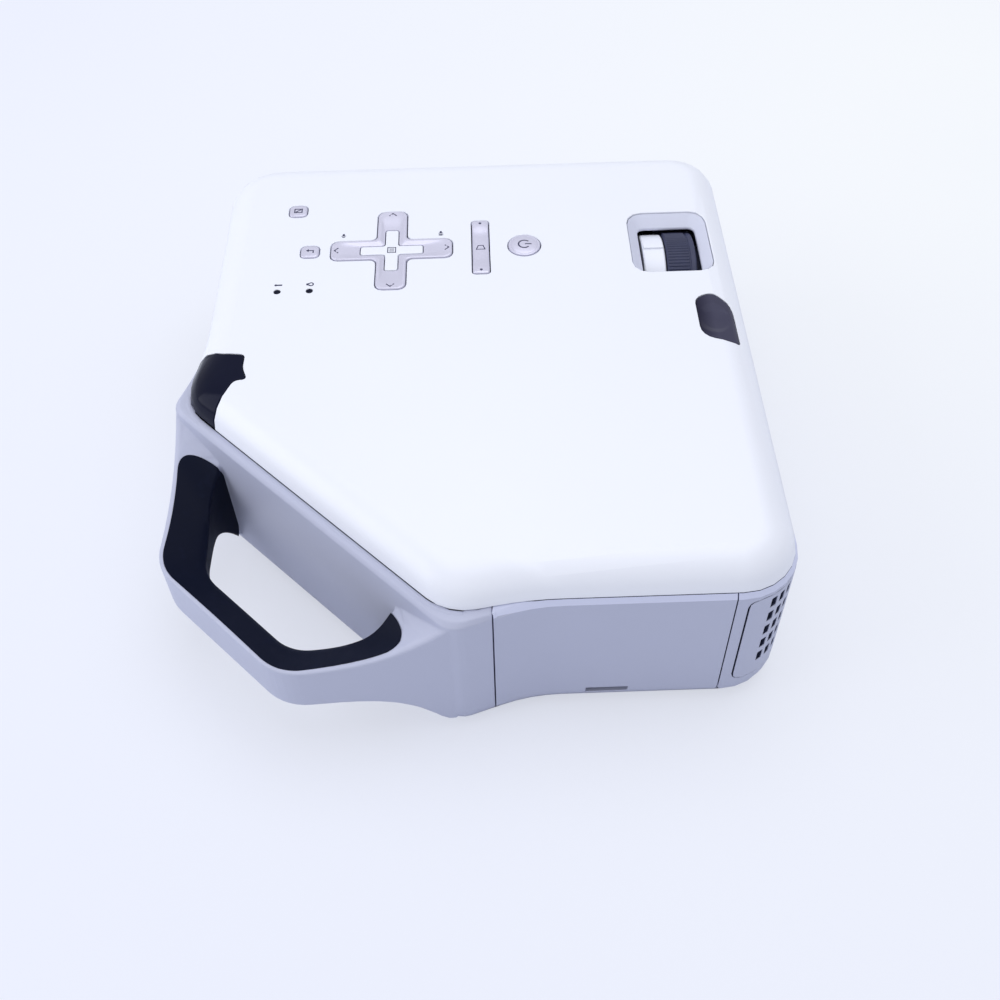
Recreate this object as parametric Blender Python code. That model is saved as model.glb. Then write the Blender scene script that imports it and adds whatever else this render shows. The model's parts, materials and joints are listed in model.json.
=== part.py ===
"""Portable DLP projector with a carrying handle across its cut corner.

Axes: +X is the way the lens looks, +Y runs from the near side to the far side, +Z is up.
The origin is at the middle of the footprint, on the table. Lengths are in metres.
"""
import math

import bmesh
import bpy
from mathutils import Vector

MM = 0.001
DEG = math.pi / 180
ROOT_2 = math.sqrt(2)

# Body
BODY_WIDTH = 265.6 * MM
BODY_DEPTH = 292.0 * MM
FOOT_STAND = 4.5 * MM
SEAM_HEIGHT = 82.5 * MM
CROWN_HEIGHT = 14.0 * MM
CROWN_RUN = 15.5 * MM
WALL = 2.5 * MM
GAP = 0.3 * MM
OVERRUN = 3.0 * MM
NEAR_CORNER = 27.0 * MM
FAR_RIGHT_CORNER = 26.0 * MM
FAR_LEFT_CORNER = 29.0 * MM
CORNER_CUT = 107.0 * MM
FLARE_RUN = 33.0 * MM
FLARE_SOFT = 14.0 * MM
RIM_DROP = 2.7 * MM
RIM_RUN = 1.5 * MM
CUT_RIM_RUN = 4.6 * MM
PEAK_STAND = 11.5 * MM
PEAK_SOFT = 6.5 * MM
SEAM_PEAK_STAND = 6.0 * MM
SEAM_PEAK_SOFT = 12.0 * MM
INNER_PEAK_STAND = 0.8 * MM
BASE_ROUND_HEIGHT = 8.0 * MM
BASE_ROUND_RUN = 5.0 * MM

# Handle: a bar in front of the cut corner on two legs
HANDLE_STAND = 14.0 * MM
HAND_GAP = 37.9 * MM
BAR_THICK = 15.5 * MM
LEG_THICK = 19.3 * MM
BAR_TOP_DROP = 27.5 * MM
BAR_HEIGHT = 25.5 * MM
BAR_OUTER_SOFT = 11.0 * MM
BAR_INNER_SOFT = 9.0 * MM
LEG_INNER_SOFT = 12.0 * MM
SHELL_LIP = 1.9 * MM
LEG_LIP = 3.0 * MM
LEG_ROOT_REACH = 12.5 * MM
ROOT_SINK = 1.9 * MM
BASE_FALL = 30.0 * MM
LIP_ROUND = 0.8 * MM
BAR_TOP_SLOPE = 10.0 * MM
BAR_BASE_ROUND = 5.0 * MM
LEG_ROOT_DEPTH = 2.6 * MM
HANDLE_END = 154.0 * MM

# Shares along a leg, from the bar's corner to the root, and across its section
LINER_END_SHARES = (0.62, 1)
LINER_END_POWER = 1.6
TOP_RISE_POWER = 2.8
BASE_FALL_POWER = 4.5
SECTION_SHARES = (1 / 3, 2 / 3, 1)

# Lamp door in the near wall
DOOR_LEFT = 136.5 * MM
DOOR_TO_CORNER = 2.3 * MM
DOOR_SEAM = 0.5 * MM
DOOR_HINGE_STAND = 5.0 * MM
DOOR_SLOT_WIDTH = 19.0 * MM
DOOR_SLOT_HEIGHT = 4.6 * MM
DOOR_SLOT_RISE = 2.4 * MM

# Exhaust grille round the near right corner
VENT_START_ANGLE = 7.2 * DEG
VENT_STRAIGHT = 43.0 * MM
VENT_TOP_DROP = 5.5 * MM
VENT_HEIGHT = 60.5 * MM
VENT_CORNER = 5.0 * MM
VENT_THICK = 2.0 * MM
SLOT_WIDTH = 3.2 * MM
SLOT_PITCH = 5.0 * MM
SLOT_COLUMNS = 13
SLOT_HEIGHT = 6.6 * MM
SLOT_ROW_PITCH = 10.3 * MM
SLOT_ROWS = 5
SLOT_TOP_MARGIN = 2.8 * MM
SLOT_START = 14.0 * MM

# Lens
LENS_TO_FAR_WALL = 81.5 * MM
LENS_HEIGHT = 62.5 * MM
RING_RADIUS = 30.8 * MM
BARREL_FLANGE = 28.0 * MM
BARREL_RADIUS = 23.0 * MM
BARREL_WALL = 2.0 * MM
BARREL_LENGTH = 61.0 * MM
BARREL_SETBACK = 7.0 * MM
LENS_HOLE_RADIUS = 17.0 * MM
SHROUD_WALL = 2.0 * MM
SHROUD_DEPTH = 5.0 * MM
SHROUD_FLANGE = 2.4 * MM
FOCUS_RING_WIDTH = 15.0 * MM
FOCUS_RING_SETBACK = 20.0 * MM
ZOOM_RING_WIDTH = 11.2 * MM
RING_GAP = 0.6 * MM
RUN_GAP = 0.35 * MM
RING_RIBS = 32
RIB_DEPTH = 0.7 * MM
NIB_WIDTH = 2.4 * MM
NIB_STAND = 0.9 * MM
CELL_WALL = 2.2 * MM
FRONT_CELL_LENGTH = 15.0 * MM
FRONT_CELL_SETBACK = 4.5 * MM
ZOOM_CELL_LENGTH = 13.0 * MM
ZOOM_CELL_SETBACK = 32.0 * MM
LENS_BULGE = 4.0 * MM
LENS_EDGE = 3.0 * MM
LENS_CURVE_SHARES = (0.5, 1)

# Recess over the lens rings
RECESS_LENGTH = 41.0 * MM
RECESS_WIDTH = 47.5 * MM
RECESS_SETBACK = 12.6 * MM
RECESS_CORNER = 8.0 * MM
RECESS_SLOPE_X = 5.6 * MM
RECESS_FAR_SLOPE = 7.2 * MM
RECESS_NEAR_SLOPE = 3.0 * MM
RECESS_INNER_CORNER = 3.5 * MM
RECESS_DEPTH = 4.6 * MM
RECESS_LIP = 1.4 * MM
RECESS_FLANGE = 2.2 * MM

# Keys on the cover, in line with the lens axis
KEY_GAP = 0.5 * MM
KEY_DEPTH = 4.0 * MM
KEY_STAND = 0.5 * MM
KEY_ROUND = 0.7 * MM
SMALL_KEY = 9.2 * MM
SMALL_KEY_CORNER = 2.6 * MM
HIDE_KEY_FROM_LEFT = 40.9 * MM
HIDE_KEY_FROM_LENS = 33.8 * MM
RETURN_KEY_FROM_LEFT = 49.3 * MM
PAD_FROM_LEFT = 90.8 * MM
PAD_REACH = 30.8 * MM
PAD_ARM = 15.0 * MM
PAD_END_CORNER = 4.2 * MM
PAD_INNER_CORNER = 3.0 * MM
PAD_DISH = 1.0 * MM
MENU_REACH = 15.8 * MM
MENU_ARM = 6.4 * MM
MENU_END_CORNER = 1.2 * MM
MENU_INNER_CORNER = 1.6 * MM
MENU_STAND = 0.2 * MM
ROCKER_FROM_LEFT = 136.1 * MM
ROCKER_LENGTH = 42.0 * MM
ROCKER_WIDTH = 8.5 * MM
ROCKER_CORNER = 1.6 * MM
POWER_FROM_LEFT = 158.3 * MM
POWER_RADIUS = 8.15 * MM
POWER_DOME = 0.9 * MM
LIGHT_RADIUS = 1.5 * MM
LIGHT_BELOW_LENS = 29.9 * MM
LAMP_LIGHT_FROM_LEFT = 35.2 * MM
TEMPERATURE_LIGHT_FROM_LEFT = 51.1 * MM
PAD_PIVOT_DROP = 3.2 * MM
FLEXURE_WIDTH = 26.0 * MM
FLEXURE_HOLE = 18.4 * MM
FLEXURE_THICK = 0.6 * MM
FLEXURE_DROP = 1.6 * MM

# Remote-receiver windows in the cover's edge
WINDOW_THICK = 4.2 * MM
FRONT_WINDOW_LENGTH = 34.7 * MM
FRONT_WINDOW_WIDTH = 17.7 * MM
FRONT_WINDOW_BELOW_LENS = 41.5 * MM
FRONT_WINDOW_FROM_RIGHT = 8.8 * MM
FRONT_WINDOW_SOFT = 5.0 * MM
FRONT_WINDOW_DISH_RADIUS = 34.0 * MM
FRONT_WINDOW_DISH = 1.5 * MM
REAR_WINDOW_LENGTH = 44.0 * MM
REAR_WINDOW_WIDTH = 25.0 * MM
REAR_WINDOW_FROM_NEAR = 98.0 * MM
REAR_WINDOW_SOFT = 2.6 * MM

# Lamp
LAMP_HEIGHT = 41.0 * MM
LAMP_HOUSING_WIDTH = 76.0 * MM
LAMP_HOUSING_DEPTH = 78.0 * MM
LAMP_HOUSING_HEIGHT = 66.0 * MM
REFLECTOR_SHARES = (0, 0.35, 1)
LAMP_WALL = 2.0 * MM
LAMP_FROM_DOOR = 4.0 * MM
LAMP_SIDE_VENT_HEIGHT = 30.0 * MM
LAMP_SIDE_VENT_DEPTH = 44.0 * MM
REFLECTOR_RADIUS = 29.0 * MM
REFLECTOR_DEPTH = 34.0 * MM
REFLECTOR_NECK = 8.0 * MM
REFLECTOR_NECK_LENGTH = 10.0 * MM
REFLECTOR_WALL = 2.4 * MM
BURNER_RADIUS = 3.0 * MM
BURNER_BULB = 5.0 * MM
BURNER_LENGTH = 50.0 * MM

# Light path
WHEEL_RADIUS = 25.0 * MM
WHEEL_THICK = 1.0 * MM
WHEEL_RISE = 17.0 * MM
WHEEL_FROM_LAMP = 8.0 * MM
WHEEL_MOTOR_RADIUS = 10.5 * MM
WHEEL_MOTOR_LENGTH = 11.0 * MM
WHEEL_HUB_RADIUS = 4.0 * MM
TUNNEL_SIDE = 9.0 * MM
TUNNEL_BORE = 5.5 * MM
TUNNEL_LENGTH = 34.0 * MM
ENGINE_LENGTH = 86.0 * MM
ENGINE_DEPTH = 84.0 * MM
ENGINE_HEIGHT = 76.0 * MM
ENGINE_BORE = 16.0 * MM
ENGINE_WALL = 4.0 * MM
ENGINE_BORE_DEPTH = 10.0 * MM
ENGINE_NECK = 15.0 * MM
ENGINE_NECK_HEIGHT = 42.0 * MM
CHIP_BOARD_SIDE = 46.0 * MM
CHIP_BOARD_THICK = 1.6 * MM
CHIP_DROP = 4.0 * MM
HEAT_SINK_SIDE = 40.0 * MM
HEAT_SINK_BASE = 4.0 * MM
HEAT_SINK_FIN = 16.0 * MM
HEAT_SINK_FINS = 6
HEAT_SINK_FIN_WALL = 1.4 * MM

# Fans
FAN_SIDE = 60.0 * MM
FAN_THICK = 15.0 * MM
FAN_BORE = 28.0 * MM
FAN_HUB = 12.0 * MM
FAN_BLADES = 7
FAN_BLADE_WALL = 1.4 * MM
FAN_TIP_GAP = 1.0 * MM
FAN_CORNER = 4.0 * MM

# Turns of a fan blade, as shares of one radian
BLADE_MIDDLE_SWEEP_SHARE = 0.12
BLADE_TIP_SWEEP_SHARE = 0.3
BLADE_BACK_LAG_SHARE = 0.3
BLADE_FRONT_LAG_SHARE = -0.25
FAN_STRUT = 3.0 * MM
EXHAUST_FAN_FROM_RIGHT = 13.0 * MM
EXHAUST_FAN_FROM_NEAR = 54.5 * MM
INTAKE_FAN_FROM_FAR = 8.0 * MM
INTAKE_FAN_FROM_RIGHT = 62.0 * MM
FAN_HEIGHT = 42.0 * MM
INTAKE_SLOTS = 9
INTAKE_SLOT_WIDTH = 3.0 * MM
INTAKE_SLOT_PITCH = 6.0 * MM
INTAKE_SLOT_HEIGHT = 48.0 * MM

# Boards and power
BOARD_THICK = 1.6 * MM
MAIN_BOARD_WIDTH = 66.0 * MM
MAIN_BOARD_DEPTH = 118.0 * MM
MAIN_BOARD_HEIGHT = 44.0 * MM
MAIN_BOARD_FROM_LEFT = 6.0 * MM
MAIN_BOARD_FROM_FAR = 20.0 * MM
POWER_SUPPLY_WIDTH = 62.0 * MM
POWER_SUPPLY_DEPTH = 96.0 * MM
POWER_SUPPLY_HEIGHT = 28.0 * MM
BALLAST_WIDTH = 48.0 * MM
BALLAST_DEPTH = 66.0 * MM
BALLAST_HEIGHT = 30.0 * MM
BALLAST_FROM_LEFT = 86.0 * MM
BALLAST_FROM_NEAR = 70.0 * MM
PART_EDGE = 1.0 * MM
KEY_BOARD_MARGIN = 9.0 * MM
KEY_BOARD_DROP = 8.6 * MM
KEY_MAT_THICK = 1.2 * MM
SPEAKER_RADIUS = 18.0 * MM
SPEAKER_DEPTH = 14.0 * MM
SPEAKER_MAGNET = 9.0 * MM
SPEAKER_FROM_LEFT = 146.0 * MM
SPEAKER_HEIGHT = 38.0 * MM

# Connector panel in the left wall
PANEL_START = 160.0 * MM
PANEL_LENGTH = 104.0 * MM
PANEL_BASE = 14.0 * MM
PANEL_HEIGHT = 54.0 * MM
PANEL_THICK = 1.8 * MM
PANEL_INSET = 1.2 * MM
SOCKET_GAP = 0.4 * MM
UPPER_ROW_RISE = 40.0 * MM
LOWER_ROW_RISE = 15.0 * MM
INLET_WIDTH = 27.5 * MM
INLET_HEIGHT = 20.0 * MM
INLET_DEPTH = 20.0 * MM
INLET_WALL = 2.2 * MM
INLET_ALONG = 20.0 * MM
COMPUTER_WIDTH = 31.0 * MM
COMPUTER_HEIGHT = 12.5 * MM
COMPUTER_ALONG = 24.0 * MM
SOCKET_DEPTH = 12.0 * MM
SOCKET_FLOOR = 3.0 * MM
ROUND_SOCKET_RADIUS = 5.0 * MM
S_VIDEO_ALONG = 54.0 * MM
VIDEO_ALONG = 72.0 * MM
AUDIO_RADIUS = 3.6 * MM
AUDIO_BORE = 1.8 * MM
AUDIO_ALONG = 88.0 * MM
USB_WIDTH = 13.0 * MM
USB_HEIGHT = 6.4 * MM
USB_ALONG = 54.0 * MM
SOCKET_WALL = 0.9 * MM
NEAR_ROUND_SHARE = 0.95

# Feet
ELEVATOR_FROM_RIGHT = 26.0 * MM
ELEVATOR_FROM_LENS = 72.0 * MM
ELEVATOR_STEM = 5.0 * MM
ELEVATOR_PAD = 11.0 * MM
ELEVATOR_LENGTH = 52.0 * MM
GUIDE_WALL = 2.2 * MM
GUIDE_TOP_GAP = 4.0 * MM
FOOT_PAD_HEIGHT = 4.0 * MM
RELEASE_WIDTH = 18.0 * MM
RELEASE_HEIGHT = 8.0 * MM
RELEASE_RISE = 22.0 * MM
RELEASE_DEPTH = 9.0 * MM
RELEASE_STAND = 1.2 * MM
LEVEL_FROM_LEFT = 26.0 * MM
LEVEL_FROM_FAR = 36.0 * MM
LEVEL_STEM = 4.0 * MM
LEVEL_STEM_LENGTH = 24.0 * MM
LEVEL_DIAL = 12.0 * MM
LEVEL_RIBS = 14
LEVEL_RIB_DEPTH = 0.5 * MM
FIXED_FOOT_RADIUS = 8.0 * MM
FIXED_FOOT_FROM_LEFT = 98.0 * MM
FIXED_FOOT_FROM_NEAR = 46.0 * MM
SCREW_HEAD = 3.0 * MM
SCREW_SHANK = 1.5 * MM
SCREW_LENGTH = 9.0 * MM
SCREW_HEAD_HEIGHT = 2.0 * MM
SCREW_SOCKET = 1.3 * MM
SCREW_BOSS = 5.0 * MM
SCREW_BOSS_HEIGHT = 12.0 * MM
MOUNT_PAD_RADIUS = 7.0 * MM
MOUNT_PAD_STAND = 0.8 * MM
MOUNT_HOLE_RADIUS = 2.0 * MM
MOUNT_HOLE_DEPTH = 8.0 * MM

CROWN_TURNS = (0, 22.5, 45, 67.5, 90)

# Where things fall from the sizes above
BODY_LEFT = -(BODY_WIDTH + HANDLE_STAND) / 2 + HANDLE_STAND
BODY_RIGHT = BODY_LEFT + BODY_WIDTH
BODY_NEAR = -(BODY_DEPTH + HANDLE_STAND) / 2 + HANDLE_STAND
BODY_FAR = BODY_NEAR + BODY_DEPTH
TOP_HEIGHT = SEAM_HEIGHT + CROWN_HEIGHT
FLOOR_TOP = FOOT_STAND + WALL
WALL_TOP = SEAM_HEIGHT - GAP
LENS_Y = BODY_FAR - LENS_TO_FAR_WALL
DOOR_WIDTH = BODY_WIDTH - DOOR_LEFT - NEAR_CORNER - DOOR_TO_CORNER
DOOR_X = BODY_LEFT + DOOR_LEFT + DOOR_WIDTH / 2
KEY_BASE = TOP_HEIGHT - KEY_DEPTH
KEY_BOARD_TOP = TOP_HEIGHT - KEY_BOARD_DROP
BAR_TOP = SEAM_HEIGHT - BAR_TOP_DROP
BAR_BASE = BAR_TOP - BAR_HEIGHT

# Paint: colour, roughness, metallic
WHITE_SHELL = ("white_shell", (0.86, 0.87, 0.90), 0.35, 0)
GREY_SHELL = ("grey_shell", (0.42, 0.44, 0.50), 0.45, 0)
LIGHT_GREY = ("light_grey", (0.60, 0.61, 0.67), 0.4, 0)
SOFT_BLACK = ("soft_black", (0.02, 0.022, 0.035), 0.5, 0)
DARK_WINDOW = ("dark_window", (0.015, 0.015, 0.03), 0.1, 0)
SILVER_KEY = ("silver_key", (0.62, 0.61, 0.68), 0.3, 0.3)
DARK_RING = ("dark_ring", (0.06, 0.065, 0.09), 0.5, 0)
BARE_METAL = ("bare_metal", (0.62, 0.63, 0.65), 0.35, 1)
CAST_METAL = ("cast_metal", (0.35, 0.36, 0.38), 0.5, 1)
BOARD_GREEN = ("board_green", (0.03, 0.17, 0.08), 0.5, 0)
CLEAR_GLASS = ("clear_glass", (0.75, 0.85, 0.9), 0.05, 0)
RUBBER = ("rubber", (0.03, 0.03, 0.035), 0.8, 0)


def empty_scene():
    for item in list(bpy.data.objects):
        bpy.data.objects.remove(item, do_unlink=True)


def paint(look):
    label, colour, roughness, metallic = look
    found = bpy.data.materials.get(label)
    if found:
        return found
    made = bpy.data.materials.new(label)
    made.use_nodes = True
    shader = made.node_tree.nodes["Principled BSDF"]
    shader.inputs["Base Color"].default_value = (*colour, 1)
    shader.inputs["Roughness"].default_value = roughness
    shader.inputs["Metallic"].default_value = metallic
    return made


def piece(name, points, faces, look, smooth=35 * DEG):
    """One closed mesh object with its faces turned outwards."""
    work = bmesh.new()
    corners = [work.verts.new(point) for point in points]
    for face in faces:
        work.faces.new([corners[index] for index in face])
    bmesh.ops.recalc_face_normals(work, faces=work.faces)
    if work.calc_volume(signed=True) < 0:
        bmesh.ops.reverse_faces(work, faces=work.faces)
    mesh = bpy.data.meshes.new(name)
    work.to_mesh(mesh)
    work.free()
    mesh.shade_smooth()
    mesh.set_sharp_from_angle(angle=smooth)
    made = bpy.data.objects.new(name, mesh)
    made.data.materials.append(paint(look))
    bpy.context.scene.collection.objects.link(made)
    return made


def loft(name, rings, look, endless=False):
    """Skin over rings of equal length; the ends are capped unless the chain closes on itself."""
    size = len(rings[0])
    points = [point for ring in rings for point in ring]
    faces = []
    spans = len(rings) if endless else len(rings) - 1
    for ring in range(spans):
        here = ring * size
        there = (ring + 1) % len(rings) * size
        for step in range(size):
            after = (step + 1) % size
            faces.append((here + step, here + after, there + after, there + step))
    if not endless:
        faces.append(tuple(range(size)))
        faces.append(tuple(range((len(rings) - 1) * size, len(rings) * size)))
    return piece(name, points, faces, look)


def soft_outline(corners):
    """Closed outline; a corner (x, y, reach, steps) bends from reach before it to reach after it."""
    points = []
    for index, (x, y, reach, steps) in enumerate(corners):
        here = Vector((x, y))
        before = Vector(corners[index - 1][:2])
        after = Vector(corners[(index + 1) % len(corners)][:2])
        arrive = (here - before).normalized()
        leave = (after - here).normalized()
        points += bend(here - arrive * reach, here, here + leave * reach, steps)
    return points


def bend(start, corner, end, steps):
    """Points on a near-circular curve from start to end, tangent to both sides of the corner."""
    if steps == 0:
        return [corner]
    arrive = corner - start
    leave = end - corner
    turn = arrive.angle(leave)
    pull = 2 / 3
    if turn > DEG:
        pull = 4 / 3 * math.tan(turn / 4) / math.tan(turn / 2)
    first = start + arrive * pull
    second = end - leave * pull
    points = []
    for step in range(steps + 1):
        share = step / steps
        rest = 1 - share
        points.append(start * rest ** 3 + first * 3 * rest ** 2 * share
                      + second * 3 * rest * share ** 2 + end * share ** 3)
    return points


def grown(outline, reach):
    """The outline moved outwards by a reach, or inwards by a negative one."""
    points = [Vector(point[:2]) for point in outline]
    moved = []
    for before, here, after in zip(points[-1:] + points[:-1], points, points[1:] + points[:1]):
        first = (here - before).normalized()
        second = (after - here).normalized()
        out = Vector((first.y + second.y, -first.x - second.x)).normalized()
        moved.append(here + out * reach / max(out.dot(Vector((first.y, -first.x))), 0.5))
    return moved


def level(outline, height):
    return [(point[0], point[1], height) for point in outline]


def upright(name, outline, low, high, look):
    return loft(name, [level(outline, low), level(outline, high)], look)


def rounded_box(middle, size_x, size_y, corner, steps=3):
    x, y = middle
    half_x = size_x / 2
    half_y = size_y / 2
    return soft_outline([(x + half_x, y - half_y, corner, steps), (x + half_x, y + half_y, corner, steps),
                         (x - half_x, y + half_y, corner, steps), (x - half_x, y - half_y, corner, steps)])


def cross(middle, reach, arm, end_corner, inner_corner, steps=3):
    """Outline of a plus sign, anticlockwise from the right arm."""
    x, y = middle
    half = arm / 2
    corners = []
    for quarter in range(4):
        angle = quarter * math.pi / 2
        out = Vector((math.cos(angle), math.sin(angle)))
        side = Vector((-out.y, out.x))
        for along, across, soft in ((half, -half, inner_corner), (reach, -half, end_corner),
                                    (reach, half, end_corner)):
            place = Vector((x, y)) + out * along + side * across
            corners.append((place.x, place.y, soft, steps))
    return soft_outline(corners)


def block(name, low, high, look, edge=0):
    x0, y0, z0 = low
    x1, y1, z1 = high
    made = upright(name, [(x0, y0), (x1, y0), (x1, y1), (x0, y1)], z0, z1, look)
    if edge:
        soften(made, edge)
    return made


def soften(target, width):
    bevel = target.modifiers.new("edge", 'BEVEL')
    bevel.width = width
    bevel.segments = 1
    bevel.limit_method = 'ANGLE'


def turned(name, profile, centre, axis, look, steps=24, endless=False):
    """Turn (along, radius) points about an axis; radius 0 at an end closes it in a point."""
    axis = Vector(axis)
    side = Vector((0, 0, 1)) if abs(axis.z) < 0.5 else Vector((1, 0, 0))
    other = axis.cross(side)
    centre = Vector(centre)
    points = []
    rows = []
    for along, radius in profile:
        first = len(points)
        count = steps if radius else 1
        for step in range(count):
            angle = 2 * math.pi * step / steps
            points.append(centre + axis * along + (side * math.cos(angle) + other * math.sin(angle)) * radius)
        rows.append([first + step % count for step in range(steps)])
    if endless:
        rows.append(rows[0])
    faces = []
    for here, there in zip(rows, rows[1:]):
        for step in range(steps):
            after = (step + 1) % steps
            face = [here[step], here[after], there[after], there[step]]
            kept = [index for place, index in enumerate(face) if index not in face[:place]]
            faces.append(tuple(kept))
    if not endless:
        for row, radius in ((rows[0], profile[0][1]), (rows[-1], profile[-1][1])):
            if radius:
                faces.append(tuple(row))
    return piece(name, points, faces, look)


def helper(tool):
    tool.hide_render = True
    tool.display_type = 'WIRE'
    return tool


def combine(target, tool, operation):
    change = target.modifiers.new(operation.lower(), 'BOOLEAN')
    change.operation = operation
    change.solver = 'EXACT'
    change.object = helper(tool)


def cut(target, *tools):
    for tool in tools:
        combine(target, tool, 'DIFFERENCE')


def fuse(target, *tools):
    for tool in tools:
        combine(target, tool, 'UNION')


def keep_inside(target, tool):
    combine(target, tool, 'INTERSECT')


def seat(target, point):
    """Put a moving piece's origin on its joint without moving its shape."""
    shift = Vector(point)
    for corner in target.data.vertices:
        corner.co -= shift
    target.location = shift
    return target


# Body shells


def body_outline(inset, slant, peak, peak_soft, steps=6):
    """Plan of the body: slant is where the cut corner meets the walls, peak how far its ends stand out."""
    left = BODY_LEFT + inset
    right = BODY_RIGHT - inset
    near = BODY_NEAR + inset
    far = BODY_FAR - inset
    peak_in = inset - peak
    peak_along = slant - peak_in
    return soft_outline([
        (right, near, NEAR_CORNER - inset, steps),
        (right, far, FAR_RIGHT_CORNER - inset, steps),
        (left, far, FAR_LEFT_CORNER - inset, steps),
        (left, BODY_NEAR + peak_along + FLARE_RUN, FLARE_SOFT, 4),
        (BODY_LEFT + peak_in, BODY_NEAR + peak_along, peak_soft, 4),
        (BODY_LEFT + peak_along, BODY_NEAR + peak_in, peak_soft, 4),
        (BODY_LEFT + peak_along + FLARE_RUN, near, FLARE_SOFT, 4),
    ])


def seam_outline(inset):
    """The cover's edge, and the same line drawn in by an inset; its peaks fade as it goes in."""
    fade = max(1 - inset / CROWN_RUN, 0)
    peak = INNER_PEAK_STAND + (SEAM_PEAK_STAND - INNER_PEAK_STAND) * fade
    slant = CORNER_CUT + (CUT_RIM_RUN + inset) * ROOT_2
    return body_outline(RIM_RUN + inset, slant, peak, SEAM_PEAK_SOFT)


def rim_outline(share):
    """The wall's top edge between the seam (share 0) and the rim's outer line (share 1)."""
    slant = CORNER_CUT + CUT_RIM_RUN * ROOT_2 * (1 - share)
    peak = SEAM_PEAK_STAND + (PEAK_STAND - SEAM_PEAK_STAND) * share
    soft = SEAM_PEAK_SOFT + (PEAK_SOFT - SEAM_PEAK_SOFT) * share
    return body_outline(RIM_RUN * (1 - share), slant, peak, soft)


def base_outline(inset):
    return body_outline(inset, CORNER_CUT + inset * ROOT_2, PEAK_STAND, PEAK_SOFT)


def inner_outline(inset):
    return body_outline(inset, CORNER_CUT + inset * ROOT_2, INNER_PEAK_STAND, PEAK_SOFT)


def wall_rings():
    """Outside of the walls, from the table side up to the seam."""
    rings = []
    for turn in (0, 45, 90):
        inset = BASE_ROUND_RUN * (1 - math.sin(turn * DEG))
        height = FOOT_STAND + BASE_ROUND_HEIGHT * (1 - math.cos(turn * DEG))
        rings.append(level(base_outline(inset), height))
    for turn in (0, 45, 90):
        share = math.cos(turn * DEG)
        height = WALL_TOP - RIM_DROP * (1 - math.sin(turn * DEG))
        rings.append(level(rim_outline(share), height))
    return rings


def make_wall_ring(name):
    """The walls alone, open above and below, to cut wall pieces from."""
    rings = wall_rings()
    rings.append(level(inner_outline(WALL), WALL_TOP))
    rings.append(level(inner_outline(WALL + BASE_ROUND_RUN), FOOT_STAND))
    return loft(name, rings, GREY_SHELL, endless=True)


def crown_ring(turn, depth):
    """One ring of the cover's rounded edge, or of the same surface at a depth inside it."""
    inset = CROWN_RUN * (1 - math.cos(turn * DEG)) + depth
    rise = (CROWN_HEIGHT - depth) * math.sin(turn * DEG)
    return level(seam_outline(inset), SEAM_HEIGHT + rise)


def crown_height(x, depth):
    """Height of the cover's surface near its right edge, at a depth inside it."""
    share = max(1 - (BODY_RIGHT - RIM_RUN - depth - x) / CROWN_RUN, 0)
    return SEAM_HEIGHT + (CROWN_HEIGHT - depth) * math.sqrt(1 - share ** 2)


def make_top_cover():
    outer = [crown_ring(turn, 0) for turn in CROWN_TURNS]
    inner = [crown_ring(turn, WALL) for turn in CROWN_TURNS]
    return loft("top_cover", outer[::-1] + inner, WHITE_SHELL)


def make_crown_solid(name):
    """The cover's own shape, thick, to cut the receiver windows from."""
    rings = [crown_ring(turn, 0) for turn in reversed(CROWN_TURNS)]
    rings += [crown_ring(turn, WINDOW_THICK) for turn in CROWN_TURNS]
    return loft(name, rings, DARK_WINDOW)


def make_lower_housing():
    rings = wall_rings()
    rings.append(level(inner_outline(WALL), WALL_TOP))
    rings.append(level(inner_outline(WALL), FOOT_STAND + BASE_ROUND_HEIGHT))
    rings.append(level(inner_outline(BASE_ROUND_RUN), FLOOR_TOP))
    return loft("lower_housing", rings, GREY_SHELL)


def corner_zone(name, clearance):
    """The part of the walls that belongs to the handle moulding."""
    low = (BODY_LEFT - HANDLE_STAND - OVERRUN, BODY_NEAR - HANDLE_STAND - OVERRUN,
           FLOOR_TOP + 2 * GAP - clearance)
    high = (BODY_LEFT + DOOR_LEFT - DOOR_SEAM + clearance, BODY_NEAR + HANDLE_END + clearance,
            SEAM_HEIGHT + OVERRUN)
    return block(name, low, high, GREY_SHELL)


def door_zone(name, clearance):
    low = (BODY_LEFT + DOOR_LEFT - clearance, BODY_NEAR - PEAK_STAND, FLOOR_TOP + 2 * GAP - clearance)
    high = (BODY_LEFT + DOOR_LEFT + DOOR_WIDTH + clearance, BODY_NEAR + WALL + OVERRUN,
            SEAM_HEIGHT + OVERRUN)
    return block(name, low, high, GREY_SHELL)


# Handle


def half_path(corners, count):
    """Even stations along a bent line through (a, b, reach) corners, given from the cut walls' corner."""
    points = [Vector(corners[0][:2])]
    for before, here, after in zip(corners, corners[1:], corners[2:]):
        corner = Vector(here[:2])
        arrive = (corner - Vector(before[:2])).normalized()
        leave = (Vector(after[:2]) - corner).normalized()
        points += bend(corner - arrive * here[2], corner, corner + leave * here[2], 8)
    points.append(Vector(corners[-1][:2]))
    lengths = [0]
    for here, there in zip(points, points[1:]):
        lengths.append(lengths[-1] + (there - here).length)
    stations = []
    span = 0
    for step in range(count):
        wanted = lengths[-1] * step / (count - 1)
        while span < len(points) - 2 and lengths[span + 1] < wanted:
            span += 1
        share = (wanted - lengths[span]) / (lengths[span + 1] - lengths[span])
        stations.append(points[span].lerp(points[span + 1], share))
    return stations


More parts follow.
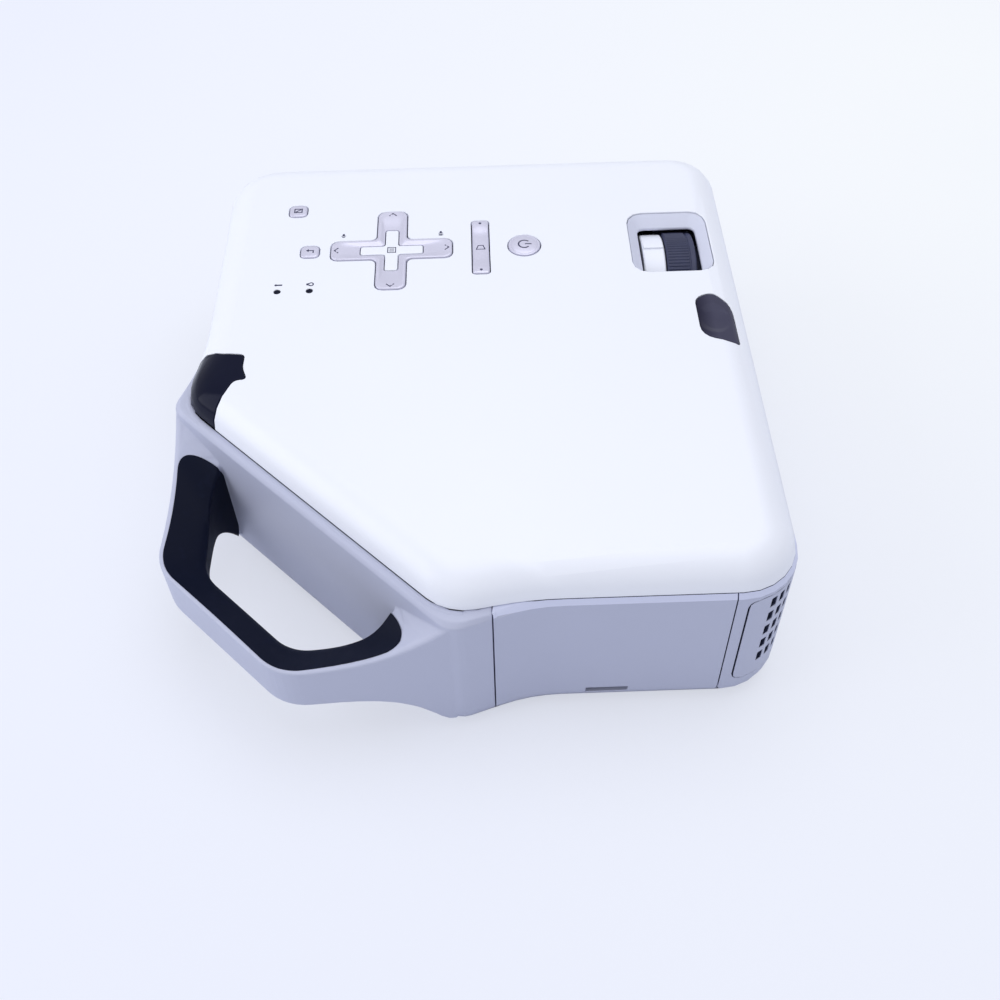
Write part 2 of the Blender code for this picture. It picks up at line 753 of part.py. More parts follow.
def handle_stations(count=15):
    """Stations along the handle: outer point, inner point, top and base heights, and how far it is a root."""
    bar_outer = CORNER_CUT - (HAND_GAP + BAR_THICK) * ROOT_2
    bar_inner = CORNER_CUT - HAND_GAP * ROOT_2
    leg_inner = LEG_THICK - HANDLE_STAND
    root_line = CORNER_CUT + LEG_ROOT_DEPTH
    root_outer = PEAK_STAND - ROOT_SINK
    outer = half_path([
        (root_line + root_outer, -root_outer, 0),
        (bar_outer + HANDLE_STAND, -HANDLE_STAND, BAR_OUTER_SOFT),
        (bar_outer / 2, bar_outer / 2, 0)], count)
    inner = half_path([
        (root_line - LEG_ROOT_REACH, LEG_ROOT_REACH, 0),
        (root_line - LEG_ROOT_REACH - LEG_INNER_SOFT, leg_inner, LEG_INNER_SOFT / 2),
        (bar_inner - leg_inner, leg_inner, BAR_INNER_SOFT),
        (bar_inner / 2, bar_inner / 2, 0)], count)
    near_half = []
    corner_start = bar_outer + HANDLE_STAND
    run = root_line + root_outer - corner_start
    for out_point, in_point in zip(outer, inner):
        share = min(max((out_point.x - corner_start) / run, 0), 1)
        top = BAR_TOP + (BAR_TOP_DROP - RIM_DROP - GAP) * share ** TOP_RISE_POWER
        base = max(BAR_BASE - BASE_FALL * share ** BASE_FALL_POWER, FLOOR_TOP + 2 * GAP)
        near_half.append((out_point, in_point, top, base, share))
    far_half = [(Vector((out_point.y, out_point.x)), Vector((in_point.y, in_point.x)), top, base, share)
                for out_point, in_point, top, base, share in near_half[-2::-1]]
    return near_half + far_half


def shell_depth(station):
    """How deep the shell goes at a station: its lip alone on the bar, the whole leg at the root."""
    out_point, in_point, _, _, share = station
    width = (in_point - out_point).length
    lip = SHELL_LIP + (LEG_LIP - SHELL_LIP) * min(share / LINER_END_SHARES[0], 1)
    first, last = LINER_END_SHARES
    closing = min(max((share - first) / (last - first), 0), 1) ** LINER_END_POWER
    return lip + (width - lip) * closing


def handle_ring(station, start, end, liner):
    """Upright section of the handle between two depths from its outer face."""
    out_point, in_point, top, base, _ = station
    width = (in_point - out_point).length
    shell = shell_depth(station)
    outer_round = 0 if liner else LIP_ROUND
    inner_round = LIP_ROUND if liner else 0
    span = end - start - 2 * LIP_ROUND
    depths = [(start, outer_round), (start + LIP_ROUND, 0)]
    depths += [(start + LIP_ROUND + span * part, 0) for part in SECTION_SHARES]
    depths.append((end, inner_round))
    lip = min(shell, LEG_LIP)
    section = []
    for depth, drop in depths:
        way_in = max(depth - lip, 0) / (width - lip)
        section.append((depth, top - drop - BAR_TOP_SLOPE * way_in))
    for depth, drop in reversed(depths):
        way_in = max(depth - lip, 0) / (width - lip)
        section.append((depth, base + drop + BAR_BASE_ROUND * way_in ** 2))
    ring = []
    for depth, height in section:
        place = out_point.lerp(in_point, depth / width)
        ring.append((BODY_LEFT + place.x, BODY_NEAR + place.y, height))
    return ring


def make_hoop(name):
    rings = [handle_ring(station, 0, shell_depth(station), False) for station in handle_stations()]
    return loft(name, rings, GREY_SHELL)


def make_grip_liner():
    rings = []
    for station in handle_stations():
        width = (station[1] - station[0]).length
        start = shell_depth(station) + GAP
        if width - start > LEG_LIP:
            rings.append(handle_ring(station, start, width, True))
    return loft("grip_liner", rings, SOFT_BLACK)


def make_corner_handle():
    moulding = make_wall_ring("corner_handle")
    keep_inside(moulding, corner_zone("corner_handle_zone", 0))
    fuse(moulding, make_hoop("handle_hoop"))
    return moulding


# Lamp door


def make_lamp_door():
    door = make_wall_ring("lamp_door")
    keep_inside(door, door_zone("lamp_door_zone", 0))
    slot_low = FLOOR_TOP + DOOR_SLOT_RISE
    cut(door, block("door_slot_tool", (DOOR_X - DOOR_SLOT_WIDTH / 2, BODY_NEAR - OVERRUN, slot_low),
                    (DOOR_X + DOOR_SLOT_WIDTH / 2, BODY_NEAR + WALL + OVERRUN, slot_low + DOOR_SLOT_HEIGHT),
                    GREY_SHELL))
    return seat(door, (DOOR_X, BODY_NEAR - DOOR_HINGE_STAND, WALL_TOP - RIM_DROP))


# Exhaust grille


def corner_place(along, inset):
    """A point on the walls round the near right corner, by its distance from the corner's start."""
    radius = NEAR_CORNER - inset
    arc = NEAR_CORNER * math.pi / 2
    middle_x = BODY_RIGHT - NEAR_CORNER
    middle_y = BODY_NEAR + NEAR_CORNER
    if along < arc:
        angle = along / NEAR_CORNER
        return middle_x + radius * math.sin(angle), middle_y - radius * math.cos(angle)
    return BODY_RIGHT - inset, middle_y + along - arc


def vent_limits(clearance):
    start = NEAR_CORNER * VENT_START_ANGLE - clearance
    end = NEAR_CORNER * math.pi / 2 + VENT_STRAIGHT + clearance
    high = SEAM_HEIGHT - VENT_TOP_DROP + clearance
    low = SEAM_HEIGHT - VENT_TOP_DROP - VENT_HEIGHT - clearance
    return start, end, low, high


def corner_grid(name, stops, rows, is_open, front, back, limits, look):
    """A panel bent round the corner: a grid of cells with a front and a back, some of them open."""
    start, end, low, high = limits
    points = []
    for inset in (front, back):
        for along in stops:
            near_end = min(along - start, end - along, VENT_CORNER)
            fall = VENT_CORNER - math.sqrt(max(VENT_CORNER ** 2 - (VENT_CORNER - near_end) ** 2, 0))
            x, y = corner_place(along, inset)
            for row in rows:
                share = (row - low) / (high - low)
                points.append((x, y, low + fall + share * (high - low - 2 * fall)))
    size = len(rows)
    layer = len(stops) * size
    faces = []
    for column in range(len(stops) - 1):
        for row in range(size - 1):
            here = column * size + row
            loop = (here, here + 1, here + size + 1, here + size)
            if is_open(column, row):
                for first, second in zip(loop, loop[1:] + loop[:1]):
                    faces.append((first, second, second + layer, first + layer))
            else:
                faces.append(loop)
                faces.append(tuple(index + layer for index in reversed(loop)))
    last = (len(stops) - 1) * size
    border = list(range(size)) + [column * size + size - 1 for column in range(1, len(stops))]
    border += list(range(last + size - 2, last - 1, -1))
    border += [column * size for column in range(len(stops) - 2, 0, -1)]
    for first, second in zip(border, border[1:] + border[:1]):
        faces.append((first, second, second + layer, first + layer))
    return piece(name, points, faces, look)


ROUND_END_SHARES = (0, 0.12, 0.4, 1)
VENT_ARC_SHARES = (0.35, 0.5, 0.65, 0.8, 1)


def make_exhaust_grille():
    limits = vent_limits(0)
    start, end, low, high = limits
    first = start + SLOT_START - NEAR_CORNER * VENT_START_ANGLE
    stops = [start + VENT_CORNER * share for share in ROUND_END_SHARES]
    for column in range(SLOT_COLUMNS):
        stops += [first + column * SLOT_PITCH, first + column * SLOT_PITCH + SLOT_WIDTH]
    stops += [end - VENT_CORNER * share for share in reversed(ROUND_END_SHARES)]
    rows = [low]
    for row in reversed(range(SLOT_ROWS)):
        top = high - SLOT_TOP_MARGIN - row * SLOT_ROW_PITCH
        rows += [top - SLOT_HEIGHT, top]
    rows.append(high)
    lead = len(ROUND_END_SHARES)

    def is_open(column, row):
        slot = column - lead
        return 0 <= slot < 2 * SLOT_COLUMNS and slot % 2 == 0 and row % 2 == 1

    return corner_grid("exhaust_grille", stops, rows, is_open, 0, VENT_THICK, limits, GREY_SHELL)


def vent_opening(name):
    limits = vent_limits(GAP)
    start, end, low, high = limits
    stops = [start + VENT_CORNER * share for share in ROUND_END_SHARES]
    arc_end = NEAR_CORNER * math.pi / 2
    stops += [start + (arc_end - start) * share for share in VENT_ARC_SHARES]
    stops += [end - VENT_CORNER * share for share in reversed(ROUND_END_SHARES)]
    return corner_grid(name, stops, [low, high], lambda column, row: False,
                       -OVERRUN, WALL + OVERRUN, limits, GREY_SHELL)


# Lens


def lens_place(setback, radius=0):
    return (BODY_RIGHT - setback, LENS_Y, LENS_HEIGHT + radius)


def make_lens_shroud():
    profile = [(0, LENS_HOLE_RADIUS - GAP), (-WALL - GAP, LENS_HOLE_RADIUS - GAP),
               (-WALL - GAP, LENS_HOLE_RADIUS + SHROUD_FLANGE),
               (-SHROUD_DEPTH, LENS_HOLE_RADIUS + SHROUD_FLANGE),
               (-SHROUD_DEPTH, LENS_HOLE_RADIUS - SHROUD_WALL - GAP), (0, LENS_HOLE_RADIUS - SHROUD_WALL / 2)]
    return turned("lens_shroud", profile, lens_place(0), (1, 0, 0), LIGHT_GREY, 28, endless=True)


def make_lens_barrel():
    inner = BARREL_RADIUS - BARREL_WALL
    flange = BARREL_FLANGE
    profile = [(-BARREL_SETBACK, inner), (-BARREL_SETBACK, BARREL_RADIUS),
               (-BARREL_SETBACK - BARREL_LENGTH, BARREL_RADIUS),
               (-BARREL_SETBACK - BARREL_LENGTH, flange),
               (-BARREL_SETBACK - BARREL_LENGTH - BARREL_WALL * 2, flange),
               (-BARREL_SETBACK - BARREL_LENGTH - BARREL_WALL * 2, inner)]
    return turned("lens_barrel", profile, lens_place(0), (1, 0, 0), DARK_RING, 28, endless=True)


def make_focus_ring():
    """A ring with fine ribs: its rim goes in and out once for each rib."""
    steps = 2 * RING_RIBS
    middle = Vector(lens_place(FOCUS_RING_SETBACK))
    rings = []
    for along, radius, ribbed in ((0, BARREL_RADIUS + RUN_GAP, False),
                                  (0, RING_RADIUS - 2 * RIB_DEPTH, False),
                                  (RIB_DEPTH, RING_RADIUS, True),
                                  (FOCUS_RING_WIDTH - RIB_DEPTH, RING_RADIUS, True),
                                  (FOCUS_RING_WIDTH, RING_RADIUS - 2 * RIB_DEPTH, False),
                                  (FOCUS_RING_WIDTH, BARREL_RADIUS + RUN_GAP, False)):
        ring = []
        for step in range(steps):
            angle = 2 * math.pi * step / steps
            reach = radius - (RIB_DEPTH if ribbed and step % 2 else 0)
            ring.append(middle + Vector((-along, reach * math.sin(angle), reach * math.cos(angle))))
        rings.append(ring)
    return seat(loft("focus_ring", rings, DARK_RING, endless=True), middle)


def make_zoom_ring():
    start = FOCUS_RING_SETBACK + FOCUS_RING_WIDTH + RING_GAP
    middle = Vector(lens_place(start))
    profile = [(0, BARREL_RADIUS + RUN_GAP), (0, RING_RADIUS - RIB_DEPTH * 2),
               (-RIB_DEPTH, RING_RADIUS - RIB_DEPTH),
               (-ZOOM_RING_WIDTH + RIB_DEPTH, RING_RADIUS - RIB_DEPTH),
               (-ZOOM_RING_WIDTH, RING_RADIUS - RIB_DEPTH * 2), (-ZOOM_RING_WIDTH, BARREL_RADIUS + RUN_GAP)]
    ring = turned("zoom_ring", profile, middle, (1, 0, 0), WHITE_SHELL, 36, endless=True)
    nib = block("zoom_nib", (middle.x - ZOOM_RING_WIDTH + RIB_DEPTH, middle.y - NIB_WIDTH / 2,
                             middle.z + BARREL_RADIUS + BARREL_WALL),
                (middle.x - RIB_DEPTH, middle.y + NIB_WIDTH / 2,
                 middle.z + RING_RADIUS - RIB_DEPTH + NIB_STAND), WHITE_SHELL)
    fuse(ring, nib)
    seat(nib, middle)
    return seat(ring, middle)


def make_lens_cell(name, setback, length):
    outer = BARREL_RADIUS - BARREL_WALL - RUN_GAP
    profile = [(0, outer), (-length, outer), (-length, outer - CELL_WALL), (0, outer - CELL_WALL)]
    return turned(name, profile, lens_place(setback), (1, 0, 0), DARK_RING, 24, endless=True)


def make_lens_glass(name, setback, length):
    radius = BARREL_RADIUS - BARREL_WALL - RUN_GAP - CELL_WALL - GAP
    profile = [(LENS_BULGE, 0)]
    for share in LENS_CURVE_SHARES:
        profile.append((LENS_BULGE * math.sqrt(1 - share * share), radius * share))
    profile += [(-LENS_EDGE, radius), (-LENS_EDGE, 0)]
    return turned(name, profile, lens_place(setback + length / 2), (1, 0, 0), CLEAR_GLASS, 24)


# Recess over the rings


def recess_middle():
    return (BODY_RIGHT - RECESS_SETBACK - RECESS_LENGTH / 2, LENS_Y)


def make_recess_bezel():
    """The sloped frame: its far side slopes more than its near side, and it clips under the cover."""
    x, y = recess_middle()
    bottom = TOP_HEIGHT - GAP - RECESS_DEPTH
    mouth_width = RECESS_WIDTH - RECESS_FAR_SLOPE - RECESS_NEAR_SLOPE
    mouth_middle = (x, y - (RECESS_FAR_SLOPE - RECESS_NEAR_SLOPE) / 2)
    mouth = rounded_box(mouth_middle, RECESS_LENGTH - 2 * RECESS_SLOPE_X, mouth_width, RECESS_INNER_CORNER)
    lip = grown(mouth, RECESS_LIP)
    outer = rounded_box((x, y), RECESS_LENGTH - 2 * GAP, RECESS_WIDTH - 2 * GAP, RECESS_CORNER)
    flange = grown(outer, RECESS_FLANGE)
    rings = [under_crown(outer, GAP), level(mouth, bottom), level(mouth, bottom - RECESS_LIP),
             level(lip, bottom - RECESS_LIP)]
    for outline, depth in ((outer, WALL + RECESS_LIP), (flange, WALL + RECESS_LIP),
                           (flange, WALL + 2 * GAP), (outer, WALL + 2 * GAP)):
        rings.append(under_crown(outline, depth))
    return loft("recess_bezel", rings, LIGHT_GREY, endless=True)


def under_crown(outline, depth):
    return [(x, y, crown_height(x, depth) - GAP / 2) for x, y in outline]


# Keys


def key_spot(from_left, above_lens=0):
    return (BODY_LEFT + from_left, LENS_Y + above_lens)


def make_small_key(name, spot):
    rings = [level(rounded_box(spot, SMALL_KEY, SMALL_KEY, SMALL_KEY_CORNER), KEY_BASE),
             level(rounded_box(spot, SMALL_KEY, SMALL_KEY, SMALL_KEY_CORNER),
                   TOP_HEIGHT + KEY_STAND - KEY_ROUND),
             level(rounded_box(spot, SMALL_KEY - 2 * KEY_ROUND, SMALL_KEY - 2 * KEY_ROUND,
                               SMALL_KEY_CORNER - KEY_ROUND), TOP_HEIGHT + KEY_STAND)]
    return seat(loft(name, rings, SILVER_KEY), (*spot, TOP_HEIGHT))


def make_power_key():
    spot = key_spot(POWER_FROM_LEFT)
    profile = [(KEY_BASE, 0), (KEY_BASE, POWER_RADIUS), (TOP_HEIGHT, POWER_RADIUS),
               (TOP_HEIGHT + KEY_STAND, POWER_RADIUS - KEY_ROUND),
               (TOP_HEIGHT + POWER_DOME, POWER_RADIUS / 2), (TOP_HEIGHT + POWER_DOME + GAP / 2, 0)]
    return seat(turned("power_key", profile, (*spot, 0), (0, 0, 1), SILVER_KEY, 28), (*spot, TOP_HEIGHT))


def make_keystone_key():
    spot = key_spot(ROCKER_FROM_LEFT)
    size = (ROCKER_WIDTH, ROCKER_LENGTH, ROCKER_CORNER)
    small = (ROCKER_WIDTH - 2 * KEY_ROUND, ROCKER_LENGTH - 2 * KEY_ROUND, ROCKER_CORNER - KEY_ROUND)
    rings = [level(rounded_box(spot, *size), KEY_BASE),
             level(rounded_box(spot, *size), TOP_HEIGHT + KEY_STAND - KEY_ROUND),
             level(rounded_box(spot, *small), TOP_HEIGHT + KEY_STAND)]
    return seat(loft("keystone_key", rings, SILVER_KEY), (*spot, KEY_BASE))


def pad_outline(inset):
    return cross(key_spot(PAD_FROM_LEFT), PAD_REACH - inset, PAD_ARM - 2 * inset,
                 PAD_END_CORNER, PAD_INNER_CORNER)


def menu_outline(inset):
    return cross(key_spot(PAD_FROM_LEFT), MENU_REACH - inset, MENU_ARM - 2 * inset,
                 MENU_END_CORNER, MENU_INNER_CORNER)


def make_four_way_pad():
    """A dished cross with a cross-shaped hole: high at its rim, low round the middle key."""
    rings = [level(pad_outline(0), KEY_BASE), level(pad_outline(0), TOP_HEIGHT),
             level(pad_outline(KEY_ROUND), TOP_HEIGHT + KEY_STAND),
             level(pad_outline(3 * KEY_ROUND), TOP_HEIGHT + KEY_STAND - PAD_DISH / 2),
             level(menu_outline(-KEY_GAP), TOP_HEIGHT + KEY_STAND - PAD_DISH),
             level(menu_outline(-KEY_GAP), KEY_BASE)]
    spot = key_spot(PAD_FROM_LEFT)
    return seat(loft("four_way_pad", rings, SILVER_KEY, endless=True), (*spot, TOP_HEIGHT - PAD_PIVOT_DROP))


def make_menu_key():
    high = TOP_HEIGHT + KEY_STAND - PAD_DISH + MENU_STAND
    rings = [level(menu_outline(0), KEY_BASE), level(menu_outline(0), high - MENU_STAND),
             level(menu_outline(MENU_STAND), high)]
    return seat(loft("menu_key", rings, WHITE_SHELL), (*key_spot(PAD_FROM_LEFT), TOP_HEIGHT))


def make_pad_flexure():
    """The thin sprung ring under the pad that lets it tip two ways."""
    spot = key_spot(PAD_FROM_LEFT)
    high = KEY_BASE - FLEXURE_DROP
    low = high - FLEXURE_THICK
    outer = rounded_box(spot, FLEXURE_WIDTH, FLEXURE_WIDTH, FLEXURE_WIDTH / 4)
    inner = rounded_box(spot, FLEXURE_HOLE, FLEXURE_HOLE, FLEXURE_HOLE / 4)
    rings = [level(outer, low), level(outer, high), level(inner, high), level(inner, low)]
    return seat(loft("pad_flexure", rings, BARE_METAL, endless=True), (*spot, TOP_HEIGHT - PAD_PIVOT_DROP))


def key_holes():
    """Tools that open the cover over each key, window and light."""
    low = TOP_HEIGHT - WALL - OVERRUN
    high = TOP_HEIGHT + OVERRUN
    tools = []
    for name, spot in (("hide_hole", key_spot(HIDE_KEY_FROM_LEFT, HIDE_KEY_FROM_LENS)),
                       ("return_hole", key_spot(RETURN_KEY_FROM_LEFT))):
        side = SMALL_KEY + 2 * KEY_GAP
        tools.append(upright(name, rounded_box(spot, side, side, SMALL_KEY_CORNER + KEY_GAP), low, high,
                             WHITE_SHELL))
    tools.append(upright("pad_hole", pad_outline(-KEY_GAP), low, high, WHITE_SHELL))
    tools.append(upright("keystone_hole", rounded_box(key_spot(ROCKER_FROM_LEFT), ROCKER_WIDTH + 2 * KEY_GAP,
                                                      ROCKER_LENGTH + 2 * KEY_GAP, ROCKER_CORNER + KEY_GAP),
                         low, high, WHITE_SHELL))
    tools.append(turned("power_hole", [(low, POWER_RADIUS + KEY_GAP), (high, POWER_RADIUS + KEY_GAP)],
                        (*key_spot(POWER_FROM_LEFT), 0), (0, 0, 1), WHITE_SHELL, 28))
    for name, spot in light_spots():
        tools.append(turned(name + "_hole", [(low, LIGHT_RADIUS + GAP), (high, LIGHT_RADIUS + GAP)],
                            (*spot, 0), (0, 0, 1), WHITE_SHELL, 12))
    tools.append(upright("recess_hole", rounded_box(recess_middle(), RECESS_LENGTH, RECESS_WIDTH,
                                                    RECESS_CORNER),
                         low, high, WHITE_SHELL))
    return tools


def light_spots():
    return (("lamp_light", key_spot(LAMP_LIGHT_FROM_LEFT, -LIGHT_BELOW_LENS)),
            ("temperature_light", key_spot(TEMPERATURE_LIGHT_FROM_LEFT, -LIGHT_BELOW_LENS)))


def make_status_light(name, spot):
    profile = [(KEY_BOARD_TOP + KEY_MAT_THICK + GAP, 0), (KEY_BOARD_TOP + KEY_MAT_THICK + GAP, LIGHT_RADIUS),
               (TOP_HEIGHT - GAP, LIGHT_RADIUS), (TOP_HEIGHT, 0)]
    return turned(name, profile, (*spot, 0), (0, 0, 1), DARK_WINDOW, 12)


# Receiver windows: outline shares of their length (along Y) and width (inwards), then softness share

FRONT_WINDOW_SHARES = ((1, -0.02, 0.4), (1, 0.78, 1.2), (0.5, 1.04, 0.8), (0, 0.93, 0.8), (0, 0.15, 1.3))
REAR_WINDOW_SHARES = ((-0.32, 1, 0.7), (-0.32, 0.27, 0.7), (0.38, 0, 0.8), (0.64, 0.27, 1.6),
                      (0.84, 0.49, 0.9), (1.07, 0.50, 0.8), (0.96, 0.68, 0.9), (0.97, 0.88, 0.8),
                      (0.56, 0.91, 1.2), (0.16, 0.99, 1))


def front_window_outline(reach):
    left = BODY_RIGHT - FRONT_WINDOW_FROM_RIGHT - FRONT_WINDOW_WIDTH
    near = LENS_Y - FRONT_WINDOW_BELOW_LENS - FRONT_WINDOW_LENGTH
    corners = [(left + FRONT_WINDOW_WIDTH * across, near + FRONT_WINDOW_LENGTH * along,
                FRONT_WINDOW_SOFT * soft, 4)
               for across, along, soft in FRONT_WINDOW_SHARES]
    return grown(soft_outline(corners), reach)


def rear_window_outline(reach):
    near = BODY_NEAR + REAR_WINDOW_FROM_NEAR
    corners = [(BODY_LEFT + REAR_WINDOW_WIDTH * across, near + REAR_WINDOW_LENGTH * along,
                REAR_WINDOW_SOFT * soft, 3)
               for across, along, soft in REAR_WINDOW_SHARES]
    return grown(soft_outline(corners), reach)


def make_front_window():
    window = make_crown_solid("front_window")
    keep_inside(window, upright("front_window_tool", front_window_outline(-GAP), SEAM_HEIGHT - OVERRUN,
                                TOP_HEIGHT + OVERRUN, DARK_WINDOW))
    middle_x = BODY_RIGHT - FRONT_WINDOW_FROM_RIGHT - FRONT_WINDOW_WIDTH / 2
    middle_y = LENS_Y - FRONT_WINDOW_BELOW_LENS - FRONT_WINDOW_LENGTH / 2
    centre = (middle_x, middle_y, TOP_HEIGHT - FRONT_WINDOW_DISH - GAP + FRONT_WINDOW_DISH_RADIUS)
    cut(window, ball("front_window_dish", centre, FRONT_WINDOW_DISH_RADIUS))
    return window


def ball(name, centre, radius):
    profile = [(radius * -math.cos(step * math.pi / 16), radius * math.sin(step * math.pi / 16))
               for step in range(17)]
    profile[0] = (-radius, 0)
    profile[-1] = (radius, 0)
    return turned(name, profile, centre, (0, 0, 1), DARK_WINDOW, 32)


def make_rear_window():
    window = make_crown_solid("rear_window")
    keep_inside(window, upright("rear_window_tool", rear_window_outline(-GAP), SEAM_HEIGHT + GAP,
                                TOP_HEIGHT + OVERRUN, DARK_WINDOW))
    return window


# Lamp and light path


def lamp_near():
    return BODY_NEAR + WALL + LAMP_FROM_DOOR


def make_lamp_housing():
    low = (DOOR_X - LAMP_HOUSING_WIDTH / 2, lamp_near(), FLOOR_TOP + LAMP_WALL)
    high = (DOOR_X + LAMP_HOUSING_WIDTH / 2, lamp_near() + LAMP_HOUSING_DEPTH,
            FLOOR_TOP + LAMP_HOUSING_HEIGHT)
    housing = block("lamp_housing", low, high, BARE_METAL)
    cut(housing, block("lamp_room", (low[0] + LAMP_WALL, low[1] + LAMP_WALL, low[2] + LAMP_WALL),
                       (high[0] - LAMP_WALL, high[1] + OVERRUN, high[2] - LAMP_WALL), BARE_METAL))
    vent_low = LAMP_HEIGHT - LAMP_SIDE_VENT_HEIGHT / 2
    middle_y = (low[1] + high[1]) / 2
    cut(housing, block("lamp_side_vent", (low[0] - OVERRUN, middle_y - LAMP_SIDE_VENT_DEPTH / 2, vent_low),
                       (high[0] + OVERRUN, middle_y + LAMP_SIDE_VENT_DEPTH / 2,
                        vent_low + LAMP_SIDE_VENT_HEIGHT), BARE_METAL))
    return housing


def lamp_mouth():
    return (DOOR_X, lamp_near() + LAMP_HOUSING_DEPTH - LAMP_WALL, LAMP_HEIGHT)


def make_lamp_reflector():
    """A deep bowl on a neck, open towards the far side."""
    outer = []
    inner = []
    for share in REFLECTOR_SHARES:
        radius = REFLECTOR_NECK + (REFLECTOR_RADIUS - REFLECTOR_NECK) * math.sqrt(share)
        outer.append((-REFLECTOR_DEPTH * (1 - share), radius))
        inner.append((-REFLECTOR_DEPTH * (1 - share), radius - REFLECTOR_WALL))
    back = -REFLECTOR_DEPTH - REFLECTOR_NECK_LENGTH
    profile = [(back, REFLECTOR_NECK)] + outer + inner[::-1] + [(back, REFLECTOR_NECK - REFLECTOR_WALL)]
    return turned("lamp_reflector", profile, lamp_mouth(), (0, 1, 0), CLEAR_GLASS, 20, endless=True)


def make_lamp_burner():
    back = -REFLECTOR_DEPTH - REFLECTOR_NECK_LENGTH
    middle = back + BURNER_LENGTH / 2
    profile = [(back, 0), (back, BURNER_RADIUS), (middle - BURNER_BULB, BURNER_RADIUS), (middle, BURNER_BULB),
               (middle + BURNER_BULB, BURNER_RADIUS), (back + BURNER_LENGTH - BURNER_BULB, BURNER_RADIUS / 2),
               (back + BURNER_LENGTH - BURNER_BULB, 0)]
    return turned("lamp_burner", profile, lamp_mouth(), (0, 1, 0), CLEAR_GLASS, 16)


def wheel_place():
    mouth = lamp_mouth()
    return (mouth[0], mouth[1] + WHEEL_FROM_LAMP, LAMP_HEIGHT + WHEEL_RISE)


def make_colour_wheel():
    place = wheel_place()
    profile = [(0, WHEEL_HUB_RADIUS), (0, WHEEL_RADIUS), (WHEEL_THICK, WHEEL_RADIUS),
               (WHEEL_THICK, WHEEL_HUB_RADIUS * 2),
               (WHEEL_THICK * 2, WHEEL_HUB_RADIUS * 2), (WHEEL_THICK * 2, WHEEL_HUB_RADIUS)]
    return seat(turned("colour_wheel", profile, place, (0, 1, 0), CLEAR_GLASS, 24, endless=True), place)


def make_wheel_motor():
    place = wheel_place()
    back = WHEEL_THICK * 2 + 2 * GAP
    shaft = WHEEL_HUB_RADIUS - RUN_GAP
    profile = [(-WHEEL_THICK, 0), (-WHEEL_THICK, shaft), (back, shaft), (back, WHEEL_MOTOR_RADIUS),
               (back + WHEEL_MOTOR_LENGTH, WHEEL_MOTOR_RADIUS), (back + WHEEL_MOTOR_LENGTH, 0)]
    return turned("wheel_motor", profile, place, (0, 1, 0), BARE_METAL, 24)


def tunnel_start():
    return wheel_place()[1] + 3 * WHEEL_THICK + WHEEL_THICK


def make_light_tunnel():
    """A square glass-lined tube that evens out the light."""
    rings = []
    for side, along in ((TUNNEL_SIDE, 0), (TUNNEL_SIDE, TUNNEL_LENGTH), (TUNNEL_BORE, TUNNEL_LENGTH),
                        (TUNNEL_BORE, 0)):
        half = side / 2
        y = tunnel_start() + along
        rings.append([(DOOR_X - half, y, LAMP_HEIGHT - half), (DOOR_X + half, y, LAMP_HEIGHT - half),
                      (DOOR_X + half, y, LAMP_HEIGHT + half), (DOOR_X - half, y, LAMP_HEIGHT + half)])
    return loft("light_tunnel", rings, BARE_METAL, endless=True)


def engine_right():
    return BODY_RIGHT - BARREL_SETBACK - BARREL_LENGTH - BARREL_WALL * 2 - GAP


def make_optical_engine():
    """The cast box that holds the mirror chip behind the lens, with a neck down to the light tunnel."""
    right = engine_right()
    near = tunnel_start() + TUNNEL_LENGTH + ENGINE_NECK
    low = FLOOR_TOP + GAP
    engine = block("optical_engine", (right - ENGINE_LENGTH, near, low),
                   (right, near + ENGINE_DEPTH, low + ENGINE_HEIGHT), CAST_METAL)
    neck_low = (DOOR_X - TUNNEL_SIDE * 2, tunnel_start() + TUNNEL_LENGTH / 3, low)
    neck_high = (DOOR_X + TUNNEL_SIDE, near + ENGINE_WALL / 2, low + ENGINE_NECK_HEIGHT + TUNNEL_SIDE)
    fuse(engine, block("engine_neck", neck_low, neck_high, CAST_METAL))
    half = TUNNEL_SIDE / 2 + GAP
    cut(engine, block("tunnel_seat", (DOOR_X - half, neck_low[1] - OVERRUN, LAMP_HEIGHT - half),
                      (DOOR_X + half, tunnel_start() + TUNNEL_LENGTH + GAP, LAMP_HEIGHT + half), CAST_METAL))
    cut(engine, block("engine_room", (right - ENGINE_LENGTH + ENGINE_WALL, near + ENGINE_WALL,
                                      low + ENGINE_WALL),
                      (right - ENGINE_WALL, near + ENGINE_DEPTH - ENGINE_WALL,
                       low + ENGINE_HEIGHT - ENGINE_WALL),
                      CAST_METAL))
    cut(engine, turned("lens_bore", [(OVERRUN, ENGINE_BORE), (-ENGINE_BORE_DEPTH, ENGINE_BORE)],
                       (right, LENS_Y, LENS_HEIGHT), (1, 0, 0), CAST_METAL, 24))
    return engine


def make_chip_board():
    left = engine_right() - ENGINE_LENGTH - GAP
    half = CHIP_BOARD_SIDE / 2
    middle_z = LENS_HEIGHT - CHIP_DROP
    return block("mirror_chip_board", (left - CHIP_BOARD_THICK, LENS_Y - half, middle_z - half),
                 (left, LENS_Y + half, middle_z + half), BOARD_GREEN)


